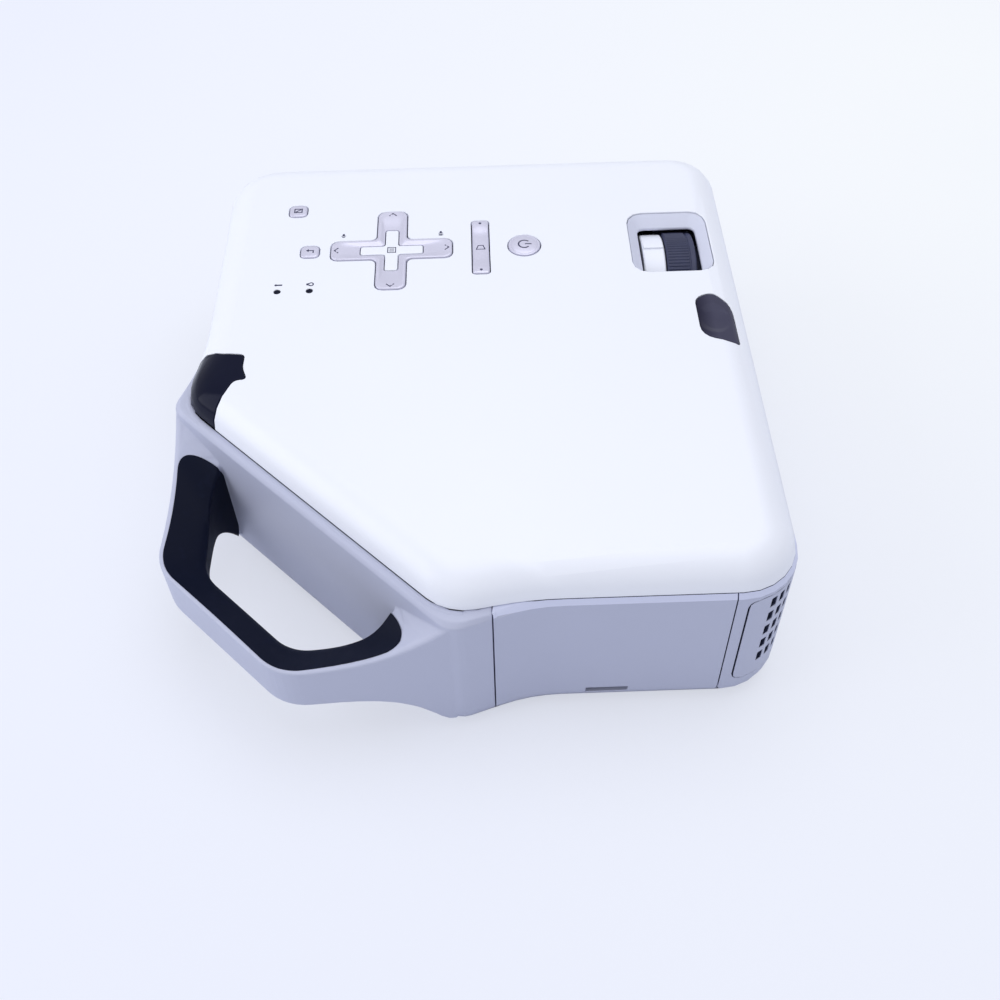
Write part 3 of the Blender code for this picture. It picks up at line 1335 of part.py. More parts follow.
def make_chip_heat_sink():
    """A finned block: one comb outline drawn up to its height."""
    base = engine_right() - ENGINE_LENGTH - GAP * 2 - CHIP_BOARD_THICK
    root = base - HEAT_SINK_BASE
    tip = root - HEAT_SINK_FIN
    near = LENS_Y - HEAT_SINK_SIDE / 2
    pitch = (HEAT_SINK_SIDE - HEAT_SINK_FIN_WALL) / (HEAT_SINK_FINS - 1)
    outline = [(base, near), (base, near + HEAT_SINK_SIDE)]
    for fin in reversed(range(HEAT_SINK_FINS)):
        far_side = near + fin * pitch + HEAT_SINK_FIN_WALL
        near_side = near + fin * pitch
        outline += [(root, far_side), (tip, far_side), (tip, near_side), (root, near_side)]
    outline = [point for point in outline if point not in ((root, near + HEAT_SINK_SIDE), (root, near))]
    middle_z = LENS_HEIGHT - CHIP_DROP
    return upright("chip_heat_sink", outline, middle_z - HEAT_SINK_SIDE / 2, middle_z + HEAT_SINK_SIDE / 2,
                   BARE_METAL)


# Fans


def make_fan_frame(name, centre, along, across):
    """A square frame with a round bore and a motor hub on three struts."""
    half = FAN_SIDE / 2
    along = Vector(along)
    across = Vector(across)
    up = Vector((0, 0, 1))
    centre = Vector(centre)
    rings = []
    steps = 8
    for radius_share, depth in ((1, -FAN_THICK / 2), (1, FAN_THICK / 2), (0, FAN_THICK / 2),
                                (0, -FAN_THICK / 2)):
        ring = []
        for step in range(4 * steps):
            angle = 2 * math.pi * (step + 0.5) / (4 * steps)
            out = Vector((math.cos(angle), math.sin(angle)))
            square = half / max(abs(out.x), abs(out.y))
            square = min(square, half * ROOT_2 - FAN_CORNER)
            reach = square if radius_share else FAN_BORE
            ring.append(centre + along * depth + across * out.x * reach + up * out.y * reach)
        rings.append(ring)
    frame = loft(name, rings, RUBBER, endless=True)
    back = -FAN_THICK / 2
    hub = turned(name + "_hub", [(back, 0), (back, FAN_HUB), (back + FAN_STRUT, FAN_HUB),
                                 (back + FAN_STRUT, 0)],
                 centre, along, RUBBER, 20)
    struts = []
    for turn in (90, 210, 330):
        out = across * math.cos(turn * DEG) + up * math.sin(turn * DEG)
        side = along.cross(out)
        foot = centre + along * back + out * (FAN_HUB - FAN_STRUT)
        reach = out * (FAN_BORE - FAN_HUB + 2 * FAN_STRUT)
        low = [foot - side * FAN_STRUT / 2, foot + side * FAN_STRUT / 2,
               foot + side * FAN_STRUT / 2 + reach, foot - side * FAN_STRUT / 2 + reach]
        struts.append(loft(f"{name}_strut_{turn}", [low, [point + along * FAN_STRUT for point in low]],
                           RUBBER))
    fuse(frame, hub, *struts)
    return frame


def make_fan_rotor(name, centre, along, across):
    """A hub with bent blades, each set at a slant."""
    centre = Vector(centre)
    along = Vector(along)
    across = Vector(across)
    up = Vector((0, 0, 1))
    back = -FAN_THICK / 2 + FAN_STRUT + RUN_GAP * 2
    front = FAN_THICK / 2 - RUN_GAP
    rotor = turned(name, [(back, 0), (back, FAN_HUB), (front - FAN_STRUT / 2, FAN_HUB),
                          (front, FAN_HUB - FAN_STRUT / 2), (front, 0)], centre, along, RUBBER, 21)
    tip = FAN_BORE - FAN_TIP_GAP
    blades = []
    for blade in range(FAN_BLADES):
        start = 2 * math.pi * blade / FAN_BLADES
        rings = []
        for radius, sweep in ((FAN_HUB - FAN_STRUT / 2, 0), ((FAN_HUB + tip) / 2, BLADE_MIDDLE_SWEEP_SHARE),
                              (tip, BLADE_TIP_SWEEP_SHARE)):
            ring = []
            for depth, lag in ((back + RUN_GAP, BLADE_BACK_LAG_SHARE),
                               (front - RUN_GAP, BLADE_FRONT_LAG_SHARE)):
                angle = start + sweep + lag
                out = across * math.cos(angle) + up * math.sin(angle)
                side = along.cross(out) * FAN_BLADE_WALL / 2
                place = centre + along * depth + out * radius
                ring += [place - side, place + side]
            rings.append([ring[0], ring[1], ring[3], ring[2]])
        blades.append(loft(f"{name}_blade_{blade}", rings, RUBBER))
    fuse(rotor, *blades)
    for blade in blades:
        seat(blade, centre)
    return seat(rotor, centre)


def exhaust_fan_centre():
    return (BODY_RIGHT - EXHAUST_FAN_FROM_RIGHT - FAN_THICK / 2, BODY_NEAR + EXHAUST_FAN_FROM_NEAR,
            FAN_HEIGHT)


def intake_fan_centre():
    return (BODY_RIGHT - INTAKE_FAN_FROM_RIGHT, BODY_FAR - INTAKE_FAN_FROM_FAR - FAN_THICK / 2, FAN_HEIGHT)


def intake_slots():
    x, _, z = intake_fan_centre()
    tools = []
    for slot in range(INTAKE_SLOTS):
        middle = x + (slot - (INTAKE_SLOTS - 1) / 2) * INTAKE_SLOT_PITCH
        tools.append(block(f"intake_slot_{slot}", (middle - INTAKE_SLOT_WIDTH / 2, BODY_FAR - WALL - OVERRUN,
                                                   z - INTAKE_SLOT_HEIGHT / 2),
                           (middle + INTAKE_SLOT_WIDTH / 2, BODY_FAR + OVERRUN, z + INTAKE_SLOT_HEIGHT / 2),
                           GREY_SHELL))
    return tools


# Boards and power


def make_key_board():
    left = key_spot(LAMP_LIGHT_FROM_LEFT)[0] - KEY_BOARD_MARGIN / 2
    right = key_spot(POWER_FROM_LEFT)[0] + POWER_RADIUS + KEY_BOARD_MARGIN / 2
    near = LENS_Y - PAD_REACH - KEY_BOARD_MARGIN / 2
    far = LENS_Y + HIDE_KEY_FROM_LENS + KEY_BOARD_MARGIN
    low = KEY_BOARD_TOP - BOARD_THICK
    board = block("key_board", (left, near, low), (right, far, KEY_BOARD_TOP), BOARD_GREEN)
    mat = block("key_mat", (left + PART_EDGE, near + PART_EDGE, KEY_BOARD_TOP + GAP),
                (right - PART_EDGE, far - PART_EDGE, KEY_BOARD_TOP + KEY_MAT_THICK), RUBBER)
    return board, mat


def make_main_board():
    left = BODY_LEFT + MAIN_BOARD_FROM_LEFT
    far = BODY_FAR - MAIN_BOARD_FROM_FAR
    return block("main_board", (left, far - MAIN_BOARD_DEPTH, MAIN_BOARD_HEIGHT),
                 (left + MAIN_BOARD_WIDTH, far, MAIN_BOARD_HEIGHT + BOARD_THICK), BOARD_GREEN)


def make_power_supply():
    left = BODY_LEFT + MAIN_BOARD_FROM_LEFT + INLET_DEPTH
    far = BODY_FAR - MAIN_BOARD_FROM_FAR - LEVEL_FROM_FAR
    return block("power_supply", (left, far - POWER_SUPPLY_DEPTH, FLOOR_TOP + GAP),
                 (left + POWER_SUPPLY_WIDTH, far, FLOOR_TOP + POWER_SUPPLY_HEIGHT), BARE_METAL, PART_EDGE)


def make_lamp_ballast():
    left = BODY_LEFT + BALLAST_FROM_LEFT
    near = BODY_NEAR + BALLAST_FROM_NEAR
    return block("lamp_ballast", (left, near, FLOOR_TOP + GAP),
                 (left + BALLAST_WIDTH, near + BALLAST_DEPTH, FLOOR_TOP + BALLAST_HEIGHT), BARE_METAL,
                 PART_EDGE)


def make_speaker():
    """A basket that widens to its rim, with the magnet behind it."""
    place = (BODY_LEFT + SPEAKER_FROM_LEFT, BODY_FAR - WALL - GAP, SPEAKER_HEIGHT)
    taper = (SPEAKER_DEPTH + WALL) / 2
    profile = [(-WALL, 0), (0, SPEAKER_RADIUS - WALL), (0, SPEAKER_RADIUS), (-WALL, SPEAKER_RADIUS),
               (-taper, SPEAKER_MAGNET), (-SPEAKER_DEPTH, SPEAKER_MAGNET), (-SPEAKER_DEPTH, 0)]
    return turned("speaker", profile, place, (0, 1, 0), RUBBER, 24)


# Connector panel


def panel_spot(along, rise):
    return BODY_NEAR + PANEL_START + along, PANEL_BASE + rise


def side_loop(outline, x):
    """An outline drawn in the left wall's own plane."""
    return [(x, across, height) for across, height in outline]


def through_left(name, outline, look, start=None, end=None):
    first = BODY_LEFT - OVERRUN if start is None else start
    last = BODY_LEFT + WALL + OVERRUN if end is None else end
    return loft(name, [side_loop(outline, first), side_loop(outline, last)], look)


def connector_holes():
    """Name, outline and look of each socket's opening in the panel."""
    return (
        ("mains_inlet", rounded_box(panel_spot(INLET_ALONG, LOWER_ROW_RISE), INLET_WIDTH, INLET_HEIGHT,
                                    INLET_WALL, 2)),
        ("computer_socket", rounded_box(panel_spot(COMPUTER_ALONG, UPPER_ROW_RISE), COMPUTER_WIDTH,
                                        COMPUTER_HEIGHT, INLET_WALL, 2)),
        ("s_video_socket", rounded_box(panel_spot(S_VIDEO_ALONG, UPPER_ROW_RISE), 2 * ROUND_SOCKET_RADIUS,
                                       2 * ROUND_SOCKET_RADIUS, ROUND_SOCKET_RADIUS * NEAR_ROUND_SHARE, 4)),
        ("video_socket", rounded_box(panel_spot(VIDEO_ALONG, UPPER_ROW_RISE), 2 * ROUND_SOCKET_RADIUS,
                                     2 * ROUND_SOCKET_RADIUS, ROUND_SOCKET_RADIUS * NEAR_ROUND_SHARE, 4)),
        ("audio_socket", rounded_box(panel_spot(AUDIO_ALONG, UPPER_ROW_RISE), 2 * AUDIO_RADIUS,
                                     2 * AUDIO_RADIUS, AUDIO_RADIUS * NEAR_ROUND_SHARE, 4)),
        ("usb_socket", rounded_box(panel_spot(USB_ALONG, LOWER_ROW_RISE), USB_WIDTH, USB_HEIGHT,
                                   SOCKET_WALL, 2)),
    )


def make_connector_panel():
    middle = panel_spot(PANEL_LENGTH / 2, PANEL_HEIGHT / 2)
    outline = rounded_box(middle, PANEL_LENGTH, PANEL_HEIGHT, VENT_CORNER)
    panel = through_left("connector_panel", outline, RUBBER, BODY_LEFT + PANEL_INSET,
                         BODY_LEFT + PANEL_INSET + PANEL_THICK)
    for name, hole in connector_holes():
        cut(panel, through_left(name + "_hole", grown(hole, SOCKET_GAP), RUBBER))
    return panel


def make_sockets():
    walls = {"mains_inlet": INLET_WALL, "audio_socket": AUDIO_RADIUS - AUDIO_BORE}
    front = BODY_LEFT + PANEL_INSET / 2
    for name, outline in connector_holes():
        depth = INLET_DEPTH if name == "mains_inlet" else SOCKET_DEPTH
        look = BARE_METAL if name == "computer_socket" else RUBBER
        socket = through_left(name, outline, look, front, front + depth)
        room = grown(outline, -walls.get(name, SOCKET_WALL))
        cut(socket, through_left(name + "_room", room, look, front - OVERRUN, front + depth - SOCKET_FLOOR))


# Feet, screws and mounting bosses


def elevator_spot():
    return (BODY_RIGHT - ELEVATOR_FROM_RIGHT, LENS_Y - ELEVATOR_FROM_LENS)


def level_spot():
    return (BODY_LEFT + LEVEL_FROM_LEFT, BODY_FAR - LEVEL_FROM_FAR)


def fixed_foot_spot():
    return (BODY_LEFT + FIXED_FOOT_FROM_LEFT, BODY_NEAR + FIXED_FOOT_FROM_NEAR)


def make_elevator_foot():
    spot = elevator_spot()
    pad_top = FOOT_PAD_HEIGHT
    profile = [(0, 0), (0, ELEVATOR_PAD - KEY_ROUND), (KEY_ROUND, ELEVATOR_PAD), (pad_top, ELEVATOR_PAD),
               (pad_top, ELEVATOR_STEM), (ELEVATOR_LENGTH, ELEVATOR_STEM), (ELEVATOR_LENGTH, 0)]
    return seat(turned("elevator_foot", profile, (*spot, 0), (0, 0, 1), RUBBER, 24), (*spot, 0))


def make_level_foot():
    spot = level_spot()
    steps = 2 * LEVEL_RIBS
    rings = []
    bore = LEVEL_STEM + RUN_GAP
    for height, radius, ribbed in ((FOOT_PAD_HEIGHT / 3, bore, False), (0, bore, False),
                                   (0, LEVEL_DIAL - 2 * LEVEL_RIB_DEPTH, False),
                                   (LEVEL_RIB_DEPTH, LEVEL_DIAL, True),
                                   (FOOT_PAD_HEIGHT - LEVEL_RIB_DEPTH, LEVEL_DIAL, True),
                                   (FOOT_PAD_HEIGHT, LEVEL_DIAL - 2 * LEVEL_RIB_DEPTH, False),
                                   (FOOT_PAD_HEIGHT, bore, False)):
        ring = []
        for step in range(steps):
            angle = 2 * math.pi * step / steps
            reach = radius - (LEVEL_RIB_DEPTH if ribbed and step % 2 else 0)
            ring.append((spot[0] + reach * math.cos(angle), spot[1] + reach * math.sin(angle), height))
        rings.append(ring)
    dial = seat(loft("level_dial", rings, RUBBER, endless=True), (*spot, 0))
    profile = [(GAP, 0), (GAP, LEVEL_STEM), (LEVEL_STEM_LENGTH, LEVEL_STEM), (LEVEL_STEM_LENGTH, 0)]
    stem = turned("level_stem", profile, (*spot, 0), (0, 0, 1), BARE_METAL, 20)
    return dial, seat(stem, (*spot, 0))


def make_fixed_foot():
    spot = fixed_foot_spot()
    top = FOOT_STAND - GAP
    profile = [(0, 0), (0, FIXED_FOOT_RADIUS - KEY_ROUND), (KEY_ROUND, FIXED_FOOT_RADIUS),
               (top, FIXED_FOOT_RADIUS),
               (top, 0)]
    return turned("fixed_foot", profile, (*spot, 0), (0, 0, 1), RUBBER, 24)


def screw_spots():
    return ((BODY_LEFT + FAR_LEFT_CORNER / 2 + SCREW_BOSS, BODY_FAR - FAR_LEFT_CORNER / 2 - SCREW_BOSS),
            (BODY_RIGHT - FAR_RIGHT_CORNER / 2 - SCREW_BOSS, BODY_FAR - FAR_RIGHT_CORNER / 2 - SCREW_BOSS),
            (BODY_RIGHT - NEAR_CORNER / 2 - SCREW_BOSS, BODY_NEAR + NEAR_CORNER / 2 + SCREW_BOSS))


def make_screw(name, spot):
    top = FOOT_STAND + SCREW_HEAD_HEIGHT
    low = FOOT_STAND + GAP
    profile = [(low + SCREW_HEAD_HEIGHT / 2, 0), (low + SCREW_HEAD_HEIGHT / 2, SCREW_SOCKET),
               (low, SCREW_SOCKET),
               (low, SCREW_HEAD), (top, SCREW_HEAD), (top, SCREW_SHANK), (top + SCREW_LENGTH, SCREW_SHANK),
               (top + SCREW_LENGTH, 0)]
    return turned(name, profile, (*spot, 0), (0, 0, 1), BARE_METAL, 10)


def screw_hole(name, spot):
    top = FOOT_STAND + SCREW_HEAD_HEIGHT + GAP
    profile = [(0, 0), (0, SCREW_HEAD + GAP), (top, SCREW_HEAD + GAP), (top, SCREW_SHANK + GAP),
               (top + SCREW_LENGTH, SCREW_SHANK + GAP), (top + SCREW_LENGTH, 0)]
    return turned(name, profile, (*spot, 0), (0, 0, 1), GREY_SHELL, 12)


def boss(name, spot, radius, low, high):
    return turned(name, [(low, radius), (high, radius)], (*spot, 0), (0, 0, 1), GREY_SHELL, 16)


def mount_spots():
    """Three threaded bosses in the floor, with a raised pad below, for a ceiling bracket."""
    return ((BODY_LEFT + LEVEL_FROM_LEFT + FAR_LEFT_CORNER, BODY_FAR - LEVEL_FROM_FAR / 2),
            (BODY_RIGHT - INTAKE_FAN_FROM_RIGHT + FAN_SIDE / 2 + MOUNT_PAD_RADIUS * 2,
             BODY_FAR - LEVEL_FROM_FAR),
            (BODY_LEFT + DOOR_LEFT - MOUNT_PAD_RADIUS, BODY_NEAR + FIXED_FOOT_FROM_NEAR))


def furnish_housing(housing):
    """Bosses and guides on the floor, then every opening in the walls and the floor."""
    guide_top = ELEVATOR_LENGTH + GUIDE_TOP_GAP
    level_guide = LEVEL_STEM + RUN_GAP + GUIDE_WALL
    fuse(housing, turned("elevator_guide", [(FLOOR_TOP - WALL / 2, ELEVATOR_STEM + RUN_GAP + GUIDE_WALL),
                                            (guide_top, ELEVATOR_STEM + RUN_GAP + GUIDE_WALL)],
                         (*elevator_spot(), 0), (0, 0, 1), GREY_SHELL, 20))
    fuse(housing, turned("level_guide", [(FLOOR_TOP - WALL / 2, level_guide),
                                         (LEVEL_STEM_LENGTH, level_guide)],
                         (*level_spot(), 0), (0, 0, 1), GREY_SHELL, 20))
    for index, spot in enumerate(screw_spots()):
        fuse(housing, boss(f"screw_boss_{index}", spot, SCREW_BOSS, FLOOR_TOP - WALL / 2,
                           FLOOR_TOP + SCREW_BOSS_HEIGHT))
    for index, spot in enumerate(mount_spots()):
        fuse(housing, boss(f"mount_boss_{index}", spot, MOUNT_PAD_RADIUS, FOOT_STAND - MOUNT_PAD_STAND,
                           FLOOR_TOP + MOUNT_HOLE_DEPTH))
    cut(housing, turned("elevator_hole", [(0, ELEVATOR_STEM + RUN_GAP),
                                          (guide_top + OVERRUN, ELEVATOR_STEM + RUN_GAP)],
                        (*elevator_spot(), 0), (0, 0, 1), GREY_SHELL, 20))
    cut(housing, turned("level_hole", [(0, LEVEL_STEM + RUN_GAP),
                                       (LEVEL_STEM_LENGTH + OVERRUN, LEVEL_STEM + RUN_GAP)],
                        (*level_spot(), 0), (0, 0, 1), GREY_SHELL, 20))
    for index, spot in enumerate(screw_spots()):
        cut(housing, screw_hole(f"screw_hole_{index}", spot))
    for index, spot in enumerate(mount_spots()):
        cut(housing, turned(f"mount_hole_{index}",
                            [(0, MOUNT_HOLE_RADIUS), (FOOT_STAND + MOUNT_HOLE_DEPTH, MOUNT_HOLE_RADIUS)],
                            (*spot, 0), (0, 0, 1), GREY_SHELL, 12))
    cut(housing, corner_zone("corner_zone_tool", GAP), door_zone("door_zone_tool", DOOR_SEAM))
    cut(housing, vent_opening("vent_opening"))
    cut(housing, turned("lens_hole", [(-WALL - OVERRUN, LENS_HOLE_RADIUS), (OVERRUN, LENS_HOLE_RADIUS)],
                        lens_place(0), (1, 0, 0), GREY_SHELL, 28))
    middle = panel_spot(PANEL_LENGTH / 2, PANEL_HEIGHT / 2)
    cut(housing, through_left("panel_opening", rounded_box(middle, PANEL_LENGTH + 2 * GAP,
                                                           PANEL_HEIGHT + 2 * GAP,
                                                           VENT_CORNER + GAP), GREY_SHELL))
    cut(housing, *intake_slots())
    cut(housing, release_tool("release_hole", GAP, OVERRUN))


def release_tool(name, clearance, overrun):
    _, y = elevator_spot()
    half_y = RELEASE_WIDTH / 2 + clearance
    half_z = RELEASE_HEIGHT / 2 + clearance
    height = FLOOR_TOP + RELEASE_RISE
    return block(name, (BODY_RIGHT - WALL - overrun, y - half_y, height - half_z),
                 (BODY_RIGHT + overrun, y + half_y, height + half_z), GREY_SHELL)


def make_release_button():
    _, y = elevator_spot()
    height = FLOOR_TOP + RELEASE_RISE
    low = (BODY_RIGHT + RELEASE_STAND - RELEASE_DEPTH, y - RELEASE_WIDTH / 2, height - RELEASE_HEIGHT / 2)
    high = (BODY_RIGHT - GAP, y + RELEASE_WIDTH / 2, height + RELEASE_HEIGHT / 2)
    button = block("foot_release", low, high, LIGHT_GREY, KEY_ROUND)
    return seat(button, (high[0], y, height))


def build():
    empty_scene()
    cover = make_top_cover()
    cut(cover, *key_holes())
    cut(cover, upright("front_window_hole", front_window_outline(0), SEAM_HEIGHT - OVERRUN,
                       TOP_HEIGHT + OVERRUN, WHITE_SHELL))
    cut(cover, upright("rear_window_hole", rear_window_outline(0), SEAM_HEIGHT - OVERRUN,
                       TOP_HEIGHT + OVERRUN, WHITE_SHELL))
    housing = make_lower_housing()
    furnish_housing(housing)
    make_corner_handle()
    make_grip_liner()
    make_lamp_door()
    make_exhaust_grille()
    make_front_window()
    make_rear_window()
    make_lens_shroud()
    make_lens_barrel()
    make_focus_ring()
    make_zoom_ring()
    make_lens_cell("front_lens_cell", BARREL_SETBACK + FRONT_CELL_SETBACK, FRONT_CELL_LENGTH)
    make_lens_glass("front_lens", BARREL_SETBACK + FRONT_CELL_SETBACK, FRONT_CELL_LENGTH)
    make_lens_cell("zoom_cell", BARREL_SETBACK + ZOOM_CELL_SETBACK, ZOOM_CELL_LENGTH)
    make_lens_glass("zoom_lens", BARREL_SETBACK + ZOOM_CELL_SETBACK, ZOOM_CELL_LENGTH)
    make_recess_bezel()
    make_small_key("hide_key", key_spot(HIDE_KEY_FROM_LEFT, HIDE_KEY_FROM_LENS))
    make_small_key("return_key", key_spot(RETURN_KEY_FROM_LEFT))
    make_power_key()
    make_keystone_key()
    make_four_way_pad()
    make_menu_key()
    make_pad_flexure()
    for name, spot in light_spots():
        make_status_light(name, spot)
    make_lamp_housing()
    make_lamp_reflector()
    make_lamp_burner()
    make_colour_wheel()
    make_wheel_motor()
    make_light_tunnel()
    make_optical_engine()
    make_chip_board()
    make_chip_heat_sink()
    make_fan_frame("exhaust_fan_frame", exhaust_fan_centre(), (1, 0, 0), (0, 1, 0))
    make_fan_rotor("exhaust_fan_rotor", exhaust_fan_centre(), (1, 0, 0), (0, 1, 0))
    make_fan_frame("intake_fan_frame", intake_fan_centre(), (0, 1, 0), (-1, 0, 0))
    make_fan_rotor("intake_fan_rotor", intake_fan_centre(), (0, 1, 0), (-1, 0, 0))
    make_key_board()
    make_main_board()
    make_power_supply()
    make_lamp_ballast()
    make_speaker()
    make_connector_panel()
    make_sockets()
    make_elevator_foot()
    make_level_foot()
    make_fixed_foot()
    make_release_button()
    for index, spot in enumerate(screw_spots()):
        make_screw(f"housing_screw_{index + 1}", spot)


build()
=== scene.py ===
"""Finishes, fine shapes and small details of a portable projector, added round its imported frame."""

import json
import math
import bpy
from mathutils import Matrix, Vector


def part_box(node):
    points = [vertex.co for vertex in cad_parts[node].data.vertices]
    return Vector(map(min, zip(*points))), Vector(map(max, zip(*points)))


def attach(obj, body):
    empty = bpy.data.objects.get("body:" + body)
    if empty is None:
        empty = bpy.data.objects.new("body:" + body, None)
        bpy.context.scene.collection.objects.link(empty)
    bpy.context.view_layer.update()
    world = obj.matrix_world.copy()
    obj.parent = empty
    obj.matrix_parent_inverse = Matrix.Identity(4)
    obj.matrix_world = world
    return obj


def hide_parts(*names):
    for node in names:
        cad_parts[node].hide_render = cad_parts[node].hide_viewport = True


bl_info = {
    "name": "Portable projector looks",
    "version": (1, 0, 0),
    "blender": (4, 5, 0),
    "location": "View3D > Sidebar > Projector",
    "description": "Dresses the packed projector in its finishes, fine shapes and printed signs",
    "category": "Add Mesh",
}

import bmesh
import bpy
from bpy.props import FloatProperty, FloatVectorProperty, IntProperty, PointerProperty
from mathutils import Matrix, Vector
from mathutils.bvhtree import BVHTree

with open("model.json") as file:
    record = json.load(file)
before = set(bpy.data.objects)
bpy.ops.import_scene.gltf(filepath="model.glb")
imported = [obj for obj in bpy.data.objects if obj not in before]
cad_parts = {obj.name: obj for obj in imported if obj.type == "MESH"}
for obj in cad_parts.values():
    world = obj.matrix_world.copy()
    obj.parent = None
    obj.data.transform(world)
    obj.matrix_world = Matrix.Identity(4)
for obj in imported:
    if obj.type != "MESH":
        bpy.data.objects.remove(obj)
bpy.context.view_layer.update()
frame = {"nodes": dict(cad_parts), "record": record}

MM = 0.001
DEG = math.pi / 180
UP = Vector((0, 0, 1))

# Colours of the backdrop, of the floor's painted glow, and of the shade painted deep in the joints
BACKDROP = (0.86, 0.885, 1.0)
PAINTED_FLOOR_GLOW = (0.98, 1.0, 1.0)
PAINTED_GAP_SHADE = (0.035, 0.042, 0.09, 1.0)

# Front window's dish, painted shade and light: where its shaded side begins, how wide it is, and its two
# colours
DISH_START = 113.0 * MM
DISH_RUN = 8.0 * MM
DISH_PAINTED_SHADE = (0.014, 0.013, 0.03, 1.0)
DISH_PAINTED_LIGHT = (0.056, 0.055, 0.09, 1.0)

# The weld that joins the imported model's split corners again, what counts as one flat face, and the angles
# above which an edge stays sharp, is a crease of the walls, or is rounded
WELD = 0.004 * MM
FLAT_ANGLE = 0.5 * DEG
SHARP_ANGLE = 34 * DEG
CREASE_ANGLE = 25 * DEG
BEVEL_ANGLE = 38 * DEG

# Steps round an outline's corner, and the steps round a bend of the handle's path
CORNER_STEPS = 6
BEND_STEPS = 16

# The body's near left corner and the rounding of its near right corner, as packed
BODY_LEFT = -125.8 * MM
BODY_NEAR = -139.0 * MM
NEAR_CORNER = 27.0 * MM

# The middle of the walls' rolled top edge, how far off its corners may lie, how far in they go when that edge
# becomes one flat slope, and the height above which a highlight is painted on the walls
RIM_MIDDLE = 81.41 * MM
RIM_BAND = 0.03 * MM
RIM_SHIFT = 0.62 * MM
RIM_PAINTED_HIGHLIGHT = 79.55 * MM
# Upward parts of the normals between which a face belongs to the rolled edge
LEAST_SLOPE = 0.1
MOST_SLOPE = 0.95
# Reach and height, in millimetres, of the handle's crisp top edge, where it ends on the outline, a place well
# inside the outline, and how near a solid's lowest level a corner of the outline lies
RIM_SECTION = ((0.12, 80.9), (0.12, 82.1), (0.4, 82.2), (1.7, 82.15), (2.4, 81.75), (2.6, 80.9))
RIM_END = (9.9 * MM, 15.0 * MM)
RIM_INSIDE = Vector((60.0 * MM, 50.0 * MM))
LEVEL_BAND = 0.01 * MM

# Painted shade in the walls' joints: heights and depths where a cut edge is painted dark, the seam, their
# reach
CUT_LOW = 12.6 * MM
CUT_HIGH = 79.0 * MM
CUT_START = 0.35 * MM
CUT_END = 2.45 * MM
SEAM_LOW = 82.12 * MM
SEAM_START = 1.0 * MM
GAPS_NEAR = -60.0 * MM
GAPS_RIGHT = 10.0 * MM

# How far the grille's near edge and the slope behind it are set back
GRILLE_EDGE = 0.3 * MM
GRILLE_SLOPE = 0.75 * MM
EDGE_SETBACK = 0.45 * MM
SLOPE_SETBACK = 0.25 * MM

# The handle seen from above, in millimetres from the body's near left corner: (x, y, rounding) of the
# corners of its outer and its inner side, from a leg to the bar's middle
HANDLE_OUTER = ((119.2, -9.6, 0), (45.481, -14, 11), (15.74, 15.74, 0))
HANDLE_INNER = ((97.1, 12.5, 0), (85.1, 5.3, 6), (48.101, 5.3, 9), (26.7, 26.7, 0))
HANDLE_ROWS = 101
# Heights of the bar, in millimetres, what its top and base gain towards the wall, and how late they gain it
BAR_TOP = 55
TOP_GAIN = 24.5
TOP_LATENESS = 2.8
BAR_BASE = 29.5
BASE_FALL = 30
BASE_LATENESS = 4.5
LOWEST_BASE = 7.6

# The loop's section, in millimetres: its lip, how top and base fall to the inner edges, and their easing
LIP = 1.9
LIP_GAIN = 1.1
LIP_GAIN_RUN = 0.62
LIP_SHARE = 0.3
INNER_EDGE = 0.7
EDGE_RUN = 0.02
EDGE_EASE = 0.6
EDGE_STOP = 0.4
TOP_FALL = 10
BASE_RISE = 5
INNER_DROP = 11.3
INNER_RISE = 6.3
# Depth and drop of the loop's rounded outer edge, and every how many stations it has a ring
OUTER_ROUNDING = ((0, 0.8), (0.3, 0.25), (0.8, 0))
LOOP_STRIDE = 3
# Places round the loop's section, from the lip on top over the inner face to the lip below, with rings of
# points close by the inner edges
LIP_STEPS = 14
FACE_STEPS = 7
EDGE_GAP = 0.001
LIP_REACH = LIP_SHARE - EDGE_GAP
FACE_TOP = INNER_EDGE - EDGE_GAP
LOOP_AROUND = [1 - LIP_REACH * (step / LIP_STEPS) ** 2 for step in range(LIP_STEPS + 1)]
LOOP_AROUND += [FACE_TOP - FACE_TOP * step / FACE_STEPS for step in range(FACE_STEPS)]
LOOP_AROUND += [0.0] + [-around for around in reversed(LOOP_AROUND)]

# Shares of the half loop where the liner's lips end, near and far, and where its rounded tongues end
LINER_START = (0.745, 0.8)
LINER_END = 0.984
LINER_ROWS = 110
TONGUE_ROUNDING = 3.3
# How far the liner stands out, what it gains in the legs, and how far its edges are sunk, in millimetres
LINER_PROUD = 0.12
LINER_SWELL = 0.4
SWELL_START = 0.7
SWELL_RUN = 0.3
LINER_SUNK = -1.6

# Smoothing of the handle and the front window: grain of the fine mesh, passes, and share of faces kept
HANDLE_FLOW = (0.45 * MM, 6, 0.3)
WINDOW_FLOW = (0.3 * MM, 10, 0.4)

# Rounding of the edges of the sockets, and of castings and boxes inside
SOCKET_ROUND = 0.15 * MM
CASTING_ROUND = 0.3 * MM

# Solids whose rolled top edge becomes one flat slope between creases, and solids with so many openings that
# their flat faces stay in pieces
CREASED = ("lower_housing", "lamp_door")
PIERCED = ("lower_housing", "connector_panel", "lamp_housing", "optical_engine", "exhaust_fan_frame",
           "intake_fan_frame", "exhaust_grille")


# Places taken from the frame


def low(node):
    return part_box(node)[0]


def high(node):
    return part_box(node)[1]


def middle(node):
    return (low(node) + high(node)) / 2


def size(node):
    return high(node) - low(node)


def body_of(node):
    for body, members in frame["record"]["behaviour"]["bodies"].items():
        if node in members:
            return body
    raise RuntimeError("no body holds " + node)


def slot_of(node):
    for entry in frame["record"]["subparts"]:
        if entry["node"] == node:
            return entry["material_slot"]
    raise RuntimeError("no slot for " + node)


